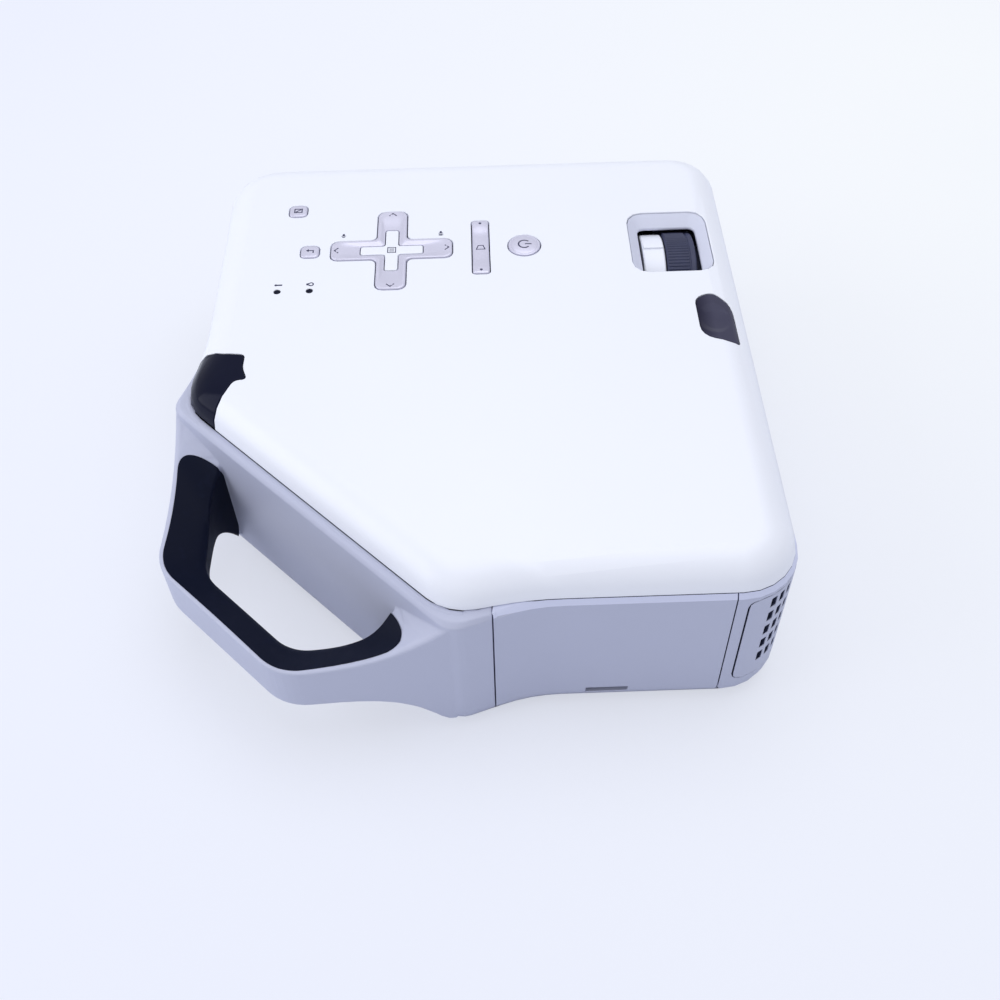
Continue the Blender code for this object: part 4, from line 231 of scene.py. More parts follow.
def settings(name):
    return getattr(bpy.context.scene, name)


# Shader building


def adding_node(operation, swapped=False):
    """A method of Signal that adds one Math node, swapped where the other value comes first."""
    def method(self, other):
        values = (other, self) if swapped else (self, other)
        return self.finish.math(operation, *values)
    return method


class Signal:
    """A shader socket that takes part in sums: each operator on it adds a Math node."""

    def __init__(self, finish, socket):
        self.finish = finish
        self.socket = socket

    __add__ = adding_node('ADD')
    __radd__ = adding_node('ADD', True)
    __sub__ = adding_node('SUBTRACT')
    __rsub__ = adding_node('SUBTRACT', True)
    __mul__ = adding_node('MULTIPLY')
    __truediv__ = adding_node('DIVIDE')
    __gt__ = adding_node('GREATER_THAN')
    __lt__ = adding_node('LESS_THAN')


class Finish:
    """One material for a slot, and the one method that adds its nodes."""

    def __init__(self, name, colour, roughness, metallic=0.0, sockets=()):
        self.material = bpy.data.materials.new(name)
        self.material.use_nodes = True
        self.tree = self.material.node_tree
        self.shader = self.tree.nodes["Principled BSDF"]
        self.colour = (*colour, 1.0)
        self.feed("Base Color", self.colour)
        self.feed("Roughness", roughness)
        self.feed("Metallic", metallic)
        for socket, value in sockets:
            self.feed(socket, value)
        self.height = None

    def feed(self, name, value):
        self.plug(self.shader.inputs[name], value)

    def plug(self, socket, value):
        if isinstance(value, Signal):
            self.tree.links.new(value.socket, socket)
        else:
            socket.default_value = value

    def node(self, kind, choices=(), inputs=(), output=0):
        """Add a node: its choices are set first, then its inputs are given values or links."""
        made = self.tree.nodes.new(kind)
        for name, value in choices:
            setattr(made, name, value)
        for key, value in inputs:
            self.plug(made.inputs[key], value)
        return Signal(self, made.outputs[output])

    def math(self, operation, *values):
        return self.node('ShaderNodeMath', [("operation", operation)], list(enumerate(values)))

    def place(self, stretch=(1, 1, 1)):
        """The point on the piece in metres, stretched for brushed or layered surfaces."""
        point = self.node('ShaderNodeTexCoord', output="Object")
        if stretch == (1, 1, 1):
            return point
        return self.node('ShaderNodeVectorMath', [("operation", 'MULTIPLY')], [(0, point), (1, stretch)])

    def part(self, axis):
        """One coordinate of the point on the piece."""
        return self.node('ShaderNodeSeparateXYZ', inputs=[(0, self.place())], output=axis)

    def noise(self, grain, detail=2.0, stretch=(1, 1, 1)):
        return self.node('ShaderNodeTexNoise', inputs=[("Vector", self.place(stretch)), ("Scale", 1 / grain),
                                                       ("Detail", detail), ("Roughness", 0.55)])

    def cells(self, grain):
        return self.node('ShaderNodeTexVoronoi', inputs=[("Vector", self.place()), ("Scale", 1 / grain)])

    def mix(self, share, first, second):
        """Blend two colours by a share."""
        return self.node('ShaderNodeMix', [("data_type", 'RGBA')], [(0, share), (6, first), (7, second)], 2)

    def clamp(self, value, lowest=0.0, highest=1.0):
        return self.node('ShaderNodeClamp', inputs=[(0, value), (1, lowest), (2, highest)])

    def tint(self, share, amount):
        """Turn the colour by a share into one that is darker (amount below 1) or lighter (above 1)."""
        self.feed("Base Color", self.mix(share, self.colour, shade(self.colour, amount)))

    def bump(self, signal, depth):
        """Add relief to the surface; further calls stack on the first."""
        inputs = [("Height", signal), ("Distance", depth), ("Strength", 1.0)]
        if self.height:
            inputs.append(("Normal", self.height))
        self.height = self.node('ShaderNodeBump', inputs=inputs)
        self.feed("Normal", self.height)


def shade(colour, amount):
    """The colour made darker (below 1) or lighter (above 1)."""
    return tuple(min(channel * amount, 1.0) for channel in colour[:3]) + (1.0,)


# Grains of moulded plastic: its spark texture, the melt's flow and handling marks, and its usual relief
SPARK_GRAIN = 0.3 * MM
FLOW_GRAIN = 60.0 * MM
MARK_GRAIN = 14.0 * MM
WALL_RELIEF = 0.009 * MM
# How much finer brushed metal is across its lines than along them, and the pitch of a board's runs
BRUSH_STRETCH = (1, 60, 60)
RUNS_IN_A_METRE = (300, 300, 300)


def gap_shade(finish, deepest):
    """The painted shade's share: 1 on the cut edges of the near wall, the near corner and the lens wall."""
    right = finish.math('MAXIMUM', finish.part("X") - (high("exhaust_grille").x - NEAR_CORNER), 0.0)
    near = finish.math('MAXIMUM', (BODY_NEAR + NEAR_CORNER) - finish.part("Y"), 0.0)
    depth = NEAR_CORNER - finish.math('SQRT', right * right + near * near)
    height = finish.part("Z")
    upright = (height > CUT_LOW) * (height < CUT_HIGH)
    # Shade painted on the walls' cut edges, and in the seam above them
    cut = (depth > CUT_START) * (depth < deepest) * upright
    seam = (height > SEAM_LOW) * (depth > SEAM_START)
    return (cut + seam) * (finish.part("Y") < GAPS_NEAR) * (finish.part("X") > GAPS_RIGHT)


def moulded(name, colour, roughness, grain, relief, tint=0.97, sockets=(), painted_light_depth=0.0):
    """Moulded plastic: fine spark texture, flow tint, handling marks in the gloss, painted light and shade."""
    finish = Finish(name, colour, roughness, 0.0, sockets)
    fine = finish.noise(grain, 3.0)
    flow = finish.noise(FLOW_GRAIN, 2.0)
    marks = finish.noise(MARK_GRAIN, 5.0)
    tint_and_painted_light = finish.mix(flow, shade(colour, tint), finish.colour)
    # On the walls: painted highlight on the top band, then painted shade on cut edges and seam
    if painted_light_depth:
        tint_and_painted_light = finish.mix(finish.part("Z") > RIM_PAINTED_HIGHLIGHT, tint_and_painted_light, shade(colour, 1.3))
        tint_and_painted_light = finish.mix(gap_shade(finish, painted_light_depth), tint_and_painted_light, PAINTED_GAP_SHADE)
    finish.feed("Base Color", tint_and_painted_light)
    rubbed = roughness + (marks - 0.5) * 0.14 + (fine - 0.5) * 0.06
    finish.feed("Roughness", finish.clamp(rubbed, 0.04, 1.0))
    finish.bump(fine, relief)
    finish.bump(flow, relief * 2)
    return finish


def soft_grip(name, colour):
    """Soft overmoulded rubber with a fine leathery skin and faint dust in it."""
    finish = Finish(name, colour, 0.42, 0.0, [("Specular IOR Level", 0.08)])
    skin = finish.cells(0.55 * MM)
    dust = finish.noise(7 * MM, 6.0)
    worn = finish.clamp((dust - 0.58) * 3.0)
    finish.tint(worn, 1.7)
    finish.feed("Roughness", 0.4 + dust * 0.12)
    finish.bump(skin, 0.012 * MM)
    return finish


def ring_rubber(name, colour):
    """Dark satin plastic of the lens rings, worn a little paler on its ribs."""
    finish = Finish(name, colour, 0.5, 0.0, [("Specular IOR Level", 0.4)])
    fine = finish.noise(0.25 * MM, 3.0)
    worn = finish.clamp((finish.noise(5 * MM, 5.0) - 0.52) * 2.2)
    finish.tint(worn, 1.35)
    finish.feed("Roughness", 0.46 + fine * 0.12)
    finish.bump(fine, 0.008 * MM)
    return finish


def window_plastic(name, colour):
    """Smoked acrylic of the receiver windows and light pipes: deep gloss with a faint flow line."""
    finish = Finish(name, colour, 0.16, 0.0, [("Specular IOR Level", 0.1),
                                              ("Specular Tint", (0.72, 0.75, 1.0, 1.0))])
    smear = finish.noise(16 * MM, 4.0)
    smoked = finish.mix(smear, finish.colour, shade(colour, 1.6))
    # The front window's dish gets painted shade that turns into painted light along X
    dish = finish.clamp((finish.part("X") - DISH_START) / DISH_RUN)
    painted_dish_light = finish.mix(dish, DISH_PAINTED_SHADE, DISH_PAINTED_LIGHT)
    finish.feed("Base Color", finish.mix(finish.part("X") > 0.0, smoked, painted_dish_light))
    finish.feed("Roughness", 0.09 + smear * 0.12)
    finish.bump(smear, 0.01 * MM)
    return finish


def key_paint(name, colour):
    """Silver paint with fine flakes under a satin clear coat."""
    finish = Finish(name, colour, 0.34, 0.35, [("Coat Roughness", 0.25), ("Coat Weight", 0.25)])
    flake = finish.cells(0.16 * MM)
    rub = finish.noise(6 * MM, 5.0)
    finish.tint(flake * 0.5, 0.86)
    finish.feed("Roughness", finish.clamp(0.3 + (rub - 0.5) * 0.16 + flake * 0.08, 0.1, 0.8))
    finish.bump(flake, 0.004 * MM)
    return finish


def brushed_metal(name, colour):
    """Rolled sheet metal with fine lines along it."""
    finish = Finish(name, colour, 0.32, 1.0)
    lines = finish.noise(8 * MM, 4.0, BRUSH_STRETCH)
    stain = finish.noise(22 * MM, 3.0)
    finish.feed("Base Color", finish.mix(stain, shade(colour, 0.88), finish.colour))
    finish.feed("Roughness", 0.24 + lines * 0.2)
    finish.bump(lines, 0.01 * MM)
    return finish


def cast_metal(name, colour):
    """Die-cast metal with a coarse skin."""
    finish = Finish(name, colour, 0.5, 1.0)
    skin = finish.noise(0.9 * MM, 5.0)
    stain = finish.noise(18 * MM, 3.0)
    finish.feed("Base Color", finish.mix(stain, shade(colour, 0.8), finish.colour))
    finish.feed("Roughness", 0.42 + skin * 0.22)
    finish.bump(skin, 0.06 * MM)
    return finish


def circuit_board(name, colour):
    """Solder mask over copper runs, with pale pads."""
    finish = Finish(name, colour, 0.38, 0.0, [("Coat Weight", 0.3), ("Coat Roughness", 0.2)])
    runs = finish.node('ShaderNodeTexBrick', [("offset", 0.5)], [
        ("Vector", finish.place(RUNS_IN_A_METRE)), ("Scale", 1.0), ("Mortar Size", 0.06)], "Fac")
    speck = finish.cells(3.2 * MM)
    pads = speck < 0.16
    tracks = finish.mix(runs * 0.6, finish.colour, shade(colour, 1.9))
    finish.feed("Base Color", finish.mix(pads * 0.8, tracks, (0.55, 0.53, 0.42, 1.0)))
    finish.feed("Roughness", 0.34 + runs * 0.14)
    finish.bump(runs, 0.03 * MM)
    return finish


def coated_glass(name, colour):
    """Clear coated glass, faintly uneven like a pressed or polished blank."""
    finish = Finish(name, colour, 0.03, 0.0, [("Transmission Weight", 1.0), ("IOR", 1.52),
                                              ("Coat Weight", 0.4), ("Coat Tint", (0.62, 0.55, 0.95, 1.0))])
    haze = finish.noise(12 * MM, 3.0)
    finish.feed("Roughness", 0.01 + haze * 0.04)
    finish.tint(haze, 0.93)
    return finish


def rubber_skin(name, colour):
    """Matt rubber of feet, mats and strips, with dust in its pores."""
    finish = Finish(name, colour, 0.75, 0.0, [("Specular IOR Level", 0.3)])
    fine = finish.noise(0.4 * MM, 4.0)
    dust = finish.noise(9 * MM, 5.0)
    worn = finish.clamp((dust - 0.5) * 1.6)
    finish.tint(worn, 1.8)
    finish.feed("Roughness", 0.68 + fine * 0.2)
    finish.bump(fine, 0.02 * MM)
    return finish


def printed_ink(name, colour):
    """Screen-printed ink, a little thin in places."""
    finish = Finish(name, colour, 0.55)
    thin = finish.noise(0.5 * MM, 4.0)
    finish.tint(thin * 0.5, 1.8)
    finish.feed("Roughness", 0.5 + thin * 0.15)
    return finish


def wheel_glass(name, centre):
    """The colour wheel's coated glass segments, told apart by their angle round the hub."""
    finish = Finish(name, (0.8, 0.8, 0.8), 0.06, 0.0, [("Coat Weight", 1.0)])
    angle = finish.math('ARCTAN2', finish.part(2) - centre.z, finish.part(0) - centre.x) / math.pi
    haze = finish.noise(10 * MM, 3.0)
    colour = finish.mix(angle > -0.5, (0.75, 0.06, 0.05, 1.0), (0.05, 0.5, 0.12, 1.0))
    colour = finish.mix(angle > 0.0, colour, (0.05, 0.1, 0.7, 1.0))
    colour = finish.mix(angle > 0.55, colour, (0.85, 0.85, 0.88, 1.0))
    finish.feed("Base Color", finish.mix(haze * 0.3, colour, (0.9, 0.9, 0.95, 1.0)))
    finish.feed("Roughness", 0.05 + haze * 0.08)
    return finish


FINISHES = {}


def finish_for(slot):
    """The slot's material, made on its first use from the settings."""
    if slot in FINISHES:
        return FINISHES[slot]
    look = settings("projector_finish")
    makers = {
        "white_shell": lambda: moulded(slot, look.cover_colour, 0.36, 0.35 * MM, 0.004 * MM, 0.985,
                                       [("Coat Weight", 0.12), ("Coat Roughness", 0.3)]),
        "grey_shell": lambda: moulded(slot, look.housing_colour, 0.46, SPARK_GRAIN, WALL_RELIEF, 0.96),
        "wall_shell": lambda: moulded(slot, look.housing_colour, 0.46, SPARK_GRAIN, WALL_RELIEF, 0.96,
                                      painted_light_depth=CUT_END),
        "light_grey": lambda: moulded(slot, look.trim_colour, 0.42, SPARK_GRAIN, 0.007 * MM),
        "black_plastic": lambda: moulded(slot, (0.012, 0.012, 0.014), 0.5, 0.5 * MM, 0.02 * MM, 1.6),
        "soft_black": lambda: soft_grip(slot, look.grip_colour),
        "dark_window": lambda: window_plastic(slot, look.window_colour),
        "silver_key": lambda: key_paint(slot, look.key_colour),
        "dark_ring": lambda: ring_rubber(slot, look.ring_colour),
        "bare_metal": lambda: brushed_metal(slot, (0.62, 0.63, 0.66)),
        "cast_metal": lambda: cast_metal(slot, (0.36, 0.37, 0.4)),
        "board_green": lambda: circuit_board(slot, (0.012, 0.1, 0.04)),
        "clear_glass": lambda: coated_glass(slot, (0.93, 0.96, 1.0)),
        "rubber": lambda: rubber_skin(slot, (0.022, 0.022, 0.026)),
        "ink": lambda: printed_ink("printed_ink", look.ink_colour),
        "socket_blue": lambda: moulded(slot, (0.03, 0.09, 0.42), 0.45, SPARK_GRAIN, 0.01 * MM),
        "socket_yellow": lambda: moulded(slot, (0.75, 0.45, 0.03), 0.4, SPARK_GRAIN, 0.01 * MM),
        "socket_green": lambda: moulded(slot, (0.22, 0.5, 0.16), 0.4, SPARK_GRAIN, 0.01 * MM),
        "gold_contact": lambda: brushed_metal(slot, (0.86, 0.62, 0.26)),
        "colour_wheel": lambda: wheel_glass("colour_wheel_glass", middle("colour_wheel")),
    }
    FINISHES[slot] = makers[slot]().material
    return FINISHES[slot]


# Mesh building


def skin(name, points, faces, sharp=SHARP_ANGLE):
    """One mesh object with its faces turned outwards, smooth but for its sharp edges."""
    work = bmesh.new()
    corners = [work.verts.new(point) for point in points]
    for face in faces:
        work.faces.new([corners[index] for index in face])
    bmesh.ops.recalc_face_normals(work, faces=work.faces)
    if work.calc_volume(signed=True) < 0:
        bmesh.ops.reverse_faces(work, faces=work.faces)
    mesh = bpy.data.meshes.new(name)
    work.to_mesh(mesh)
    work.free()
    mesh.shade_smooth()
    mesh.set_sharp_from_angle(angle=sharp)
    made = bpy.data.objects.new(name, mesh)
    bpy.context.scene.collection.objects.link(made)
    return made


def loft(name, rings, endless=False, sharp=SHARP_ANGLE):
    """Skin over rings of equal length, capped at both ends unless the chain closes on itself."""
    points = [point for ring in rings for point in ring]
    return skin(name, points, loft_faces(len(rings), len(rings[0]), endless), sharp)


def loft_faces(count, length, endless, first=0):
    faces = []
    for ring in range(count if endless else count - 1):
        here = first + ring * length
        there = first + (ring + 1) % count * length
        for step in range(length):
            after = (step + 1) % length
            faces.append((here + step, here + after, there + after, there + step))
    if not endless:
        faces.append(tuple(first + step for step in range(length)))
        faces.append(tuple(first + (count - 1) * length + step for step in range(length)))
    return faces


def solids(name, groups):
    """One mesh object of several separate lofted solids; each group is a list of rings."""
    points = []
    faces = []
    for rings in groups:
        faces += loft_faces(len(rings), len(rings[0]), False, len(points))
        points += [point for ring in rings for point in ring]
    return skin(name, points, faces)


def turned_rings(profile, centre, axis, steps):
    """Rings from (along, radius) points about an axis."""
    axis = Vector(axis)
    side = UP if abs(axis.z) < 0.5 else Vector((1, 0, 0))
    other = axis.cross(side)
    centre = Vector(centre)
    rings = []
    for along, radius in profile:
        ring = []
        for step in range(steps):
            angle = 2 * math.pi * step / steps
            ring.append(centre + axis * along + (side * math.cos(angle) + other * math.sin(angle)) * radius)
        rings.append(ring)
    return rings


def bend(start, corner, end, steps):
    """Points on a near-circular curve from start to end, tangent to both sides of the corner."""
    arrive = corner - start
    leave = end - corner
    turn = arrive.angle(leave)
    pull = 4 / 3 * math.tan(turn / 4) / math.tan(turn / 2) if turn > DEG else 2 / 3
    first = start + arrive * pull
    second = end - leave * pull
    points = []
    for step in range(steps + 1):
        share = step / steps
        rest = 1 - share
        points.append(start * rest ** 3 + first * 3 * rest ** 2 * share
                      + second * 3 * rest * share ** 2 + end * share ** 3)
    return points


def soft_outline(corners, steps):
    """Closed outline whose (x, y, reach) corners are rounded."""
    points = []
    for index, (x, y, reach) in enumerate(corners):
        here = Vector((x, y))
        before = Vector(corners[index - 1][:2])
        after = Vector(corners[(index + 1) % len(corners)][:2])
        points += bend(here - (here - before).normalized() * reach, here,
                       here + (after - here).normalized() * reach, steps)
    return points


def rounded_box(centre, size_x, size_y, corner, steps=CORNER_STEPS):
    """Outline of a rectangle with rounded corners."""
    x, y = centre
    half_x = size_x / 2
    half_y = size_y / 2
    return soft_outline([(x + half_x, y - half_y, corner), (x + half_x, y + half_y, corner),
                         (x - half_x, y + half_y, corner), (x - half_x, y - half_y, corner)], steps)


def cross(centre, reach, arm, end_corner, inner_corner):
    """Outline of a plus sign, anticlockwise from the right arm."""
    half = arm / 2
    corners = []
    for quarter in range(4):
        angle = quarter * math.pi / 2
        out = Vector((math.cos(angle), math.sin(angle)))
        side = Vector((-out.y, out.x))
        for along, across, soft in ((half, -half, inner_corner), (reach, -half, end_corner),
                                    (reach, half, end_corner)):
            place = Vector(centre) + out * along + side * across
            corners.append((place.x, place.y, soft))
    return soft_outline(corners, CORNER_STEPS)


def level(outline, height):
    return [(point[0], point[1], height) for point in outline]


def seated(piece, body, slot, finish=None, replaced=()):
    """Give a piece its finish, or else the slot's, tie it to its body, and hide the solids it stands for."""
    piece.data.materials.clear()
    piece.data.materials.append(finish_for(finish or slot))
    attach(piece, body)
    if replaced:
        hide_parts(*replaced)
    return piece


def stand_in(piece, node, finish=None):
    """Seat a piece on its node's own body and slot, in the solid's place."""
    return seated(piece, body_of(node), slot_of(node), finish, (node,))


def straight_rim(work):
    """Turn the rolled top edge of the walls into one flat slope."""
    work.normal_update()
    moves = []
    for corner in work.verts:
        if abs(corner.co.z - RIM_MIDDLE) < RIM_BAND:
            out = Vector((0, 0))
            for face in corner.link_faces:
                if LEAST_SLOPE < face.normal.z < MOST_SLOPE:
                    out += face.normal.xy.normalized()
            if out.length > 0:
                moves.append((corner, out.normalized().to_3d() * RIM_SHIFT))
    for corner, move in moves:
        corner.co -= move


def wide_gap(work):
    """Set the grille's near edge back a little, so that its dark joint shows as wide as in the photo."""
    edge = low("exhaust_grille").x
    for corner in work.verts:
        if corner.co.x < edge + GRILLE_SLOPE:
            corner.co.x += EDGE_SETBACK if corner.co.x < edge + GRILLE_EDGE else SLOPE_SETBACK


def whole_mesh(node, name, pierced=False, sharp=SHARP_ANGLE):
    """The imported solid's mesh with its split corners joined; its flat faces are one piece unless pierced."""
    work = bmesh.new()
    work.from_mesh(frame["nodes"][node].data)
    bmesh.ops.remove_doubles(work, verts=work.verts, dist=WELD)
    if node in CREASED:
        straight_rim(work)
    if node == "exhaust_grille":
        wide_gap(work)
    if not pierced:
        bmesh.ops.dissolve_limit(work, angle_limit=FLAT_ANGLE, verts=work.verts, edges=work.edges)
    points = [corner.co.copy() for corner in work.verts]
    work.verts.index_update()
    faces = [tuple(corner.index for corner in face.verts) for face in work.faces]
    work.free()
    return skin(name, points, faces, sharp)


def fine_copy(node, edge, finish=None, segments=2):
    """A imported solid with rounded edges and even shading, in the solid's place."""
    sharp = CREASE_ANGLE if node in CREASED else SHARP_ANGLE
    piece = whole_mesh(node, node + "_form", node in PIERCED, sharp)
    if edge:
        bevel = piece.modifiers.new("rounded_edges", 'BEVEL')
        bevel.width = edge
        bevel.segments = segments
        bevel.limit_method = 'ANGLE'
        bevel.angle_limit = BEVEL_ANGLE
        bevel.use_clamp_overlap = False
        bevel.miter_outer = 'MITER_ARC'
    even = piece.modifiers.new("even_shading", 'WEIGHTED_NORMAL')
    even.keep_sharp = True
    even.weight = 60
    return stand_in(piece, node, finish)


def flowed(piece, node, grain, passes, keep):
    """Remesh a piece finely and smooth it, so that its members flow into each other."""
    remesh = piece.modifiers.new("fine_mesh", 'REMESH')
    remesh.mode = 'VOXEL'
    remesh.voxel_size = grain
    remesh.use_smooth_shade = True
    smooth = piece.modifiers.new("soft_edges", 'SMOOTH')
    smooth.factor = 0.5
    smooth.iterations = passes
    lighter = piece.modifiers.new("lighter_mesh", 'DECIMATE')
    lighter.ratio = keep
    return stand_in(piece, node)


def half_path(corners, count):
    """Even stations along a bent line through (x, y, reach) corners."""
    points = [Vector(corners[0][:2])]
    for before, here, after in zip(corners, corners[1:], corners[2:]):
        corner = Vector(here[:2])
        arrive = (corner - Vector(before[:2])).normalized()
        leave = (Vector(after[:2]) - corner).normalized()
        points += bend(corner - arrive * here[2], corner, corner + leave * here[2], BEND_STEPS)
    points.append(Vector(corners[-1][:2]))
    lengths = [0]
    for here, there in zip(points, points[1:]):
        lengths.append(lengths[-1] + (there - here).length)
    stations = []
    span = 0
    for step in range(count):
        wanted = lengths[-1] * step / (count - 1)
        while span < len(points) - 2 and lengths[span + 1] < wanted:
            span += 1
        share = (wanted - lengths[span]) / (lengths[span + 1] - lengths[span])
        stations.append(points[span].lerp(points[span + 1], share))
    return stations


def handle_stations(count):
    """Outer and inner point, top, base and leg share along the handle, in mm from the near left corner."""
    root = HANDLE_OUTER[0][0]
    bar_end = HANDLE_OUTER[1][0]
    half = []
    for out_point, in_point in zip(half_path(HANDLE_OUTER, count), half_path(HANDLE_INNER, count)):
        share = min(max((out_point.x - bar_end) / (root - bar_end), 0), 1)
        top = BAR_TOP + TOP_GAIN * share ** TOP_LATENESS
        base = max(BAR_BASE - BASE_FALL * share ** BASE_LATENESS, LOWEST_BASE)
        half.append((out_point, in_point, top, base, share))
    other = [(Vector((out_point.y, out_point.x)), Vector((in_point.y, in_point.x)), top, base, share)
             for out_point, in_point, top, base, share in half[-2::-1]]
    return half + other


def between(stations, place):
    """The station at a place from 0 to 1 along the handle."""
    index = min(max(place, 0), 1) * (len(stations) - 1)
    first = min(int(index), len(stations) - 2)
    share = index - first
    here, there = stations[first], stations[first + 1]
    points = [here[part].lerp(there[part], share) for part in (0, 1)]
    measures = [here[part] + (there[part] - here[part]) * share for part in (2, 3, 4)]
    return (*points, *measures)


def handle_point(station, depth, height):
    """The point at a depth from the handle's outer side and a height, both in mm."""
    out_point, in_point = station[:2]
    place = out_point.lerp(in_point, depth / (in_point - out_point).length)
    return (BODY_LEFT + place.x * MM, BODY_NEAR + place.y * MM, height * MM)


def loop_point(station, around, out):
    """A point on the loop's skin, moved out of it by some mm.

    The place around the section is 1 at the lip on top, INNER_EDGE at the top inner edge, 0 half way down
    the inner face, and the same below with a minus.
    """
    out_point, in_point, top, base, share = station
    width = (in_point - out_point).length
    lip = LIP + LIP_GAIN * min(share / LIP_GAIN_RUN, 1)
    edge = max(1 - abs(abs(around) - INNER_EDGE) / EDGE_RUN, 0) * 0.5
    if abs(around) > INNER_EDGE:
        way_in = (1 - abs(around)) / LIP_SHARE
        depth = lip + way_in * (width - lip - EDGE_STOP)
        if around > 0:
            height = top - TOP_FALL * way_in - EDGE_EASE * edge
        else:
            height = base + BASE_RISE * way_in ** 2 + EDGE_EASE * edge
        depth += edge * out
        height += out if around > 0 else -out
    else:
        half = (top - base - (INNER_DROP + INNER_RISE)) / 2
        depth = width + out
        height = base + INNER_RISE + half + around / INNER_EDGE * half + math.copysign(edge * out, around)
    return handle_point(station, depth, height)


def make_grip_liner(stations):
    """The soft liner in the handle's loop: a skin over the hard loop that ends in rounded tongues."""
    rings = []
    for row in range(-1, LINER_ROWS + 2):
        along = 2 * min(max(row, 0), LINER_ROWS) / LINER_ROWS - 1
        start = LINER_START[along > 0]
        proud = LINER_PROUD + LINER_SWELL * max(abs(along) - SWELL_START, 0) / SWELL_RUN
        ring = []
        for step, around in enumerate(LOOP_AROUND[:1] + LOOP_AROUND + LOOP_AROUND[-1:]):
            reach = start + (LINER_END - start) * math.sqrt(1 - abs(around) ** TONGUE_ROUNDING)
            sunk = row < 0 or row > LINER_ROWS or step in (0, len(LOOP_AROUND) + 1)
            station = between(stations, (1 + along * reach) / 2)
            ring.append(loop_point(station, around, LINER_SUNK if sunk else proud))
        rings.append(ring)
    return stand_in(loft("grip_liner_form", rings), "grip_liner")


def make_handle(stations):
    """The handle moulding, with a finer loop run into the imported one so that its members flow."""
    handle = whole_mesh("corner_handle", "corner_handle_form")
    rings = []
    for station in stations[::LOOP_STRIDE]:
        top, base = station[2:4]
        ring = [handle_point(station, depth, top - drop) for depth, drop in OUTER_ROUNDING]
        ring += [loop_point(station, around, 0) for around in LOOP_AROUND]
        ring += [handle_point(station, depth, base + drop) for depth, drop in reversed(OUTER_ROUNDING)]
        rings.append(ring)
    hoop = loft("handle_loop", rings)
    joined = bmesh.new()
    joined.from_mesh(handle.data)
    joined.from_mesh(hoop.data)
    joined.to_mesh(handle.data)
    joined.free()
    bpy.data.objects.remove(hoop)
    return flowed(handle, "corner_handle", *HANDLE_FLOW)


def make_handle_rim():
    """The crisp top edge of the moulding, along the lower outline of the cover and the rear window."""
    edge = set()
    for node in ("top_cover", "rear_window"):
        lowest = low(node).z + LEVEL_BAND
        corners = [corner.co for corner in frame["nodes"][node].data.vertices]
        edge |= {(round(corner.x, 6), round(corner.y, 6)) for corner in corners if corner.z < lowest}
    outline = outer_loop([Vector(point) for point in edge])
    chain = [point for point in outline if point.x < RIM_END[0] and point.y < RIM_END[1]]
    chain.sort(key=lambda point: math.atan2(*(point - RIM_INSIDE).yx) % (2 * math.pi))
    rings = []
    for index, point in enumerate(chain):
        before = chain[max(index - 1, 0)]
        after = chain[min(index + 1, len(chain) - 1)]
        along = (after - before).normalized()
        out = Vector((along.y, -along.x))
        if out.dot(point - RIM_INSIDE) < 0:
            out = -out
        rings.append([(*(point + out * reach * MM), height * MM) for reach, height in RIM_SECTION])
    return seated(loft("handle_rim", rings), body_of("corner_handle"), slot_of("corner_handle"))


def outer_loop(points):
    """The convex outline of flat points."""
    points.sort(key=lambda point: (point.x, point.y))
    halves = []
    for row in (points, points[::-1]):
        chain = []
        for point in row:
            while len(chain) > 1 and (chain[-1] - chain[-2]).cross(point - chain[-2]) <= 0:
                chain.pop()
            chain.append(point)
        halves += chain[:-1]
    return halves


def surface_of(piece):
    """The piece's final surface, to lay signs on."""
    bpy.context.view_layer.update()
    return BVHTree.FromObject(piece, bpy.context.evaluated_depsgraph_get())


def stroke(points, width, closed=False):
    """Flat outlines of a drawn line, one for each straight run."""
    outlines = []
    chain = [Vector(point) for point in points]
    if closed:
        chain.append(chain[0])
    for first, second in zip(chain, chain[1:]):
        along = (second - first).normalized() * (width / 2)
        side = Vector((-along.y, along.x))
        outlines.append([first - along - side, second + along - side, second + along + side,
                         first - along + side])
    return outlines


def arc(centre, radius, start, end, steps):
    return [Vector(centre) + Vector((math.cos(start + (end - start) * step / steps),
                                     math.sin(start + (end - start) * step / steps))) * radius
            for step in range(steps + 1)]


def disc(centre, radius, steps=16):
    return arc(centre, radius, 0, 2 * math.pi, steps)[:-1]


def moved(outlines, centre, turn=0.0):
    """Outlines drawn about the origin, turned and set in place."""
    rotation = Matrix.Rotation(turn, 2)
    return [[Vector(centre) + rotation @ Vector(point) for point in outline] for outline in outlines]


# Where the rays start that find the surface under a sign, and how the heights of crossing strokes differ
RAY_START = 1.0
STAND_STEP = 0.02
STAND_STEPS = 7


def printed(name, outlines, form, body, slot):
    """Thin signs laid on a form's surface, each outline its own flat solid."""
    surface = surface_of(bpy.data.objects[form])
    stand = settings("projector_detail").print_stand
    groups = []
    for index, outline in enumerate(outlines):
        top = []
        bottom = []
        lift = stand * (1 + STAND_STEP * (index % STAND_STEPS))
        for point in outline:
            hit = surface.ray_cast(Vector((point[0], point[1], RAY_START)), -UP)[0]
            height = hit.z if hit else high("four_way_pad").z
            top.append((point[0], point[1], height + lift))
            bottom.append((point[0], point[1], height - stand))
        groups.append([bottom, top])
    return seated(solids(name, groups), body, slot, "ink")


# Settings a user would change


def colour_setting(name, description, default):
    return FloatVectorProperty(name=name, description=description, default=default,
                               subtype='COLOR', size=3, min=0, max=1)


def length_setting(name, description, default, lowest=0.0, highest=0.002):
    return FloatProperty(name=name, description=description, default=default,
                         unit='LENGTH', min=lowest, max=highest)


def power_setting(name, description, default):
    return FloatProperty(name=name, description=description, default=default, unit='POWER', min=0)


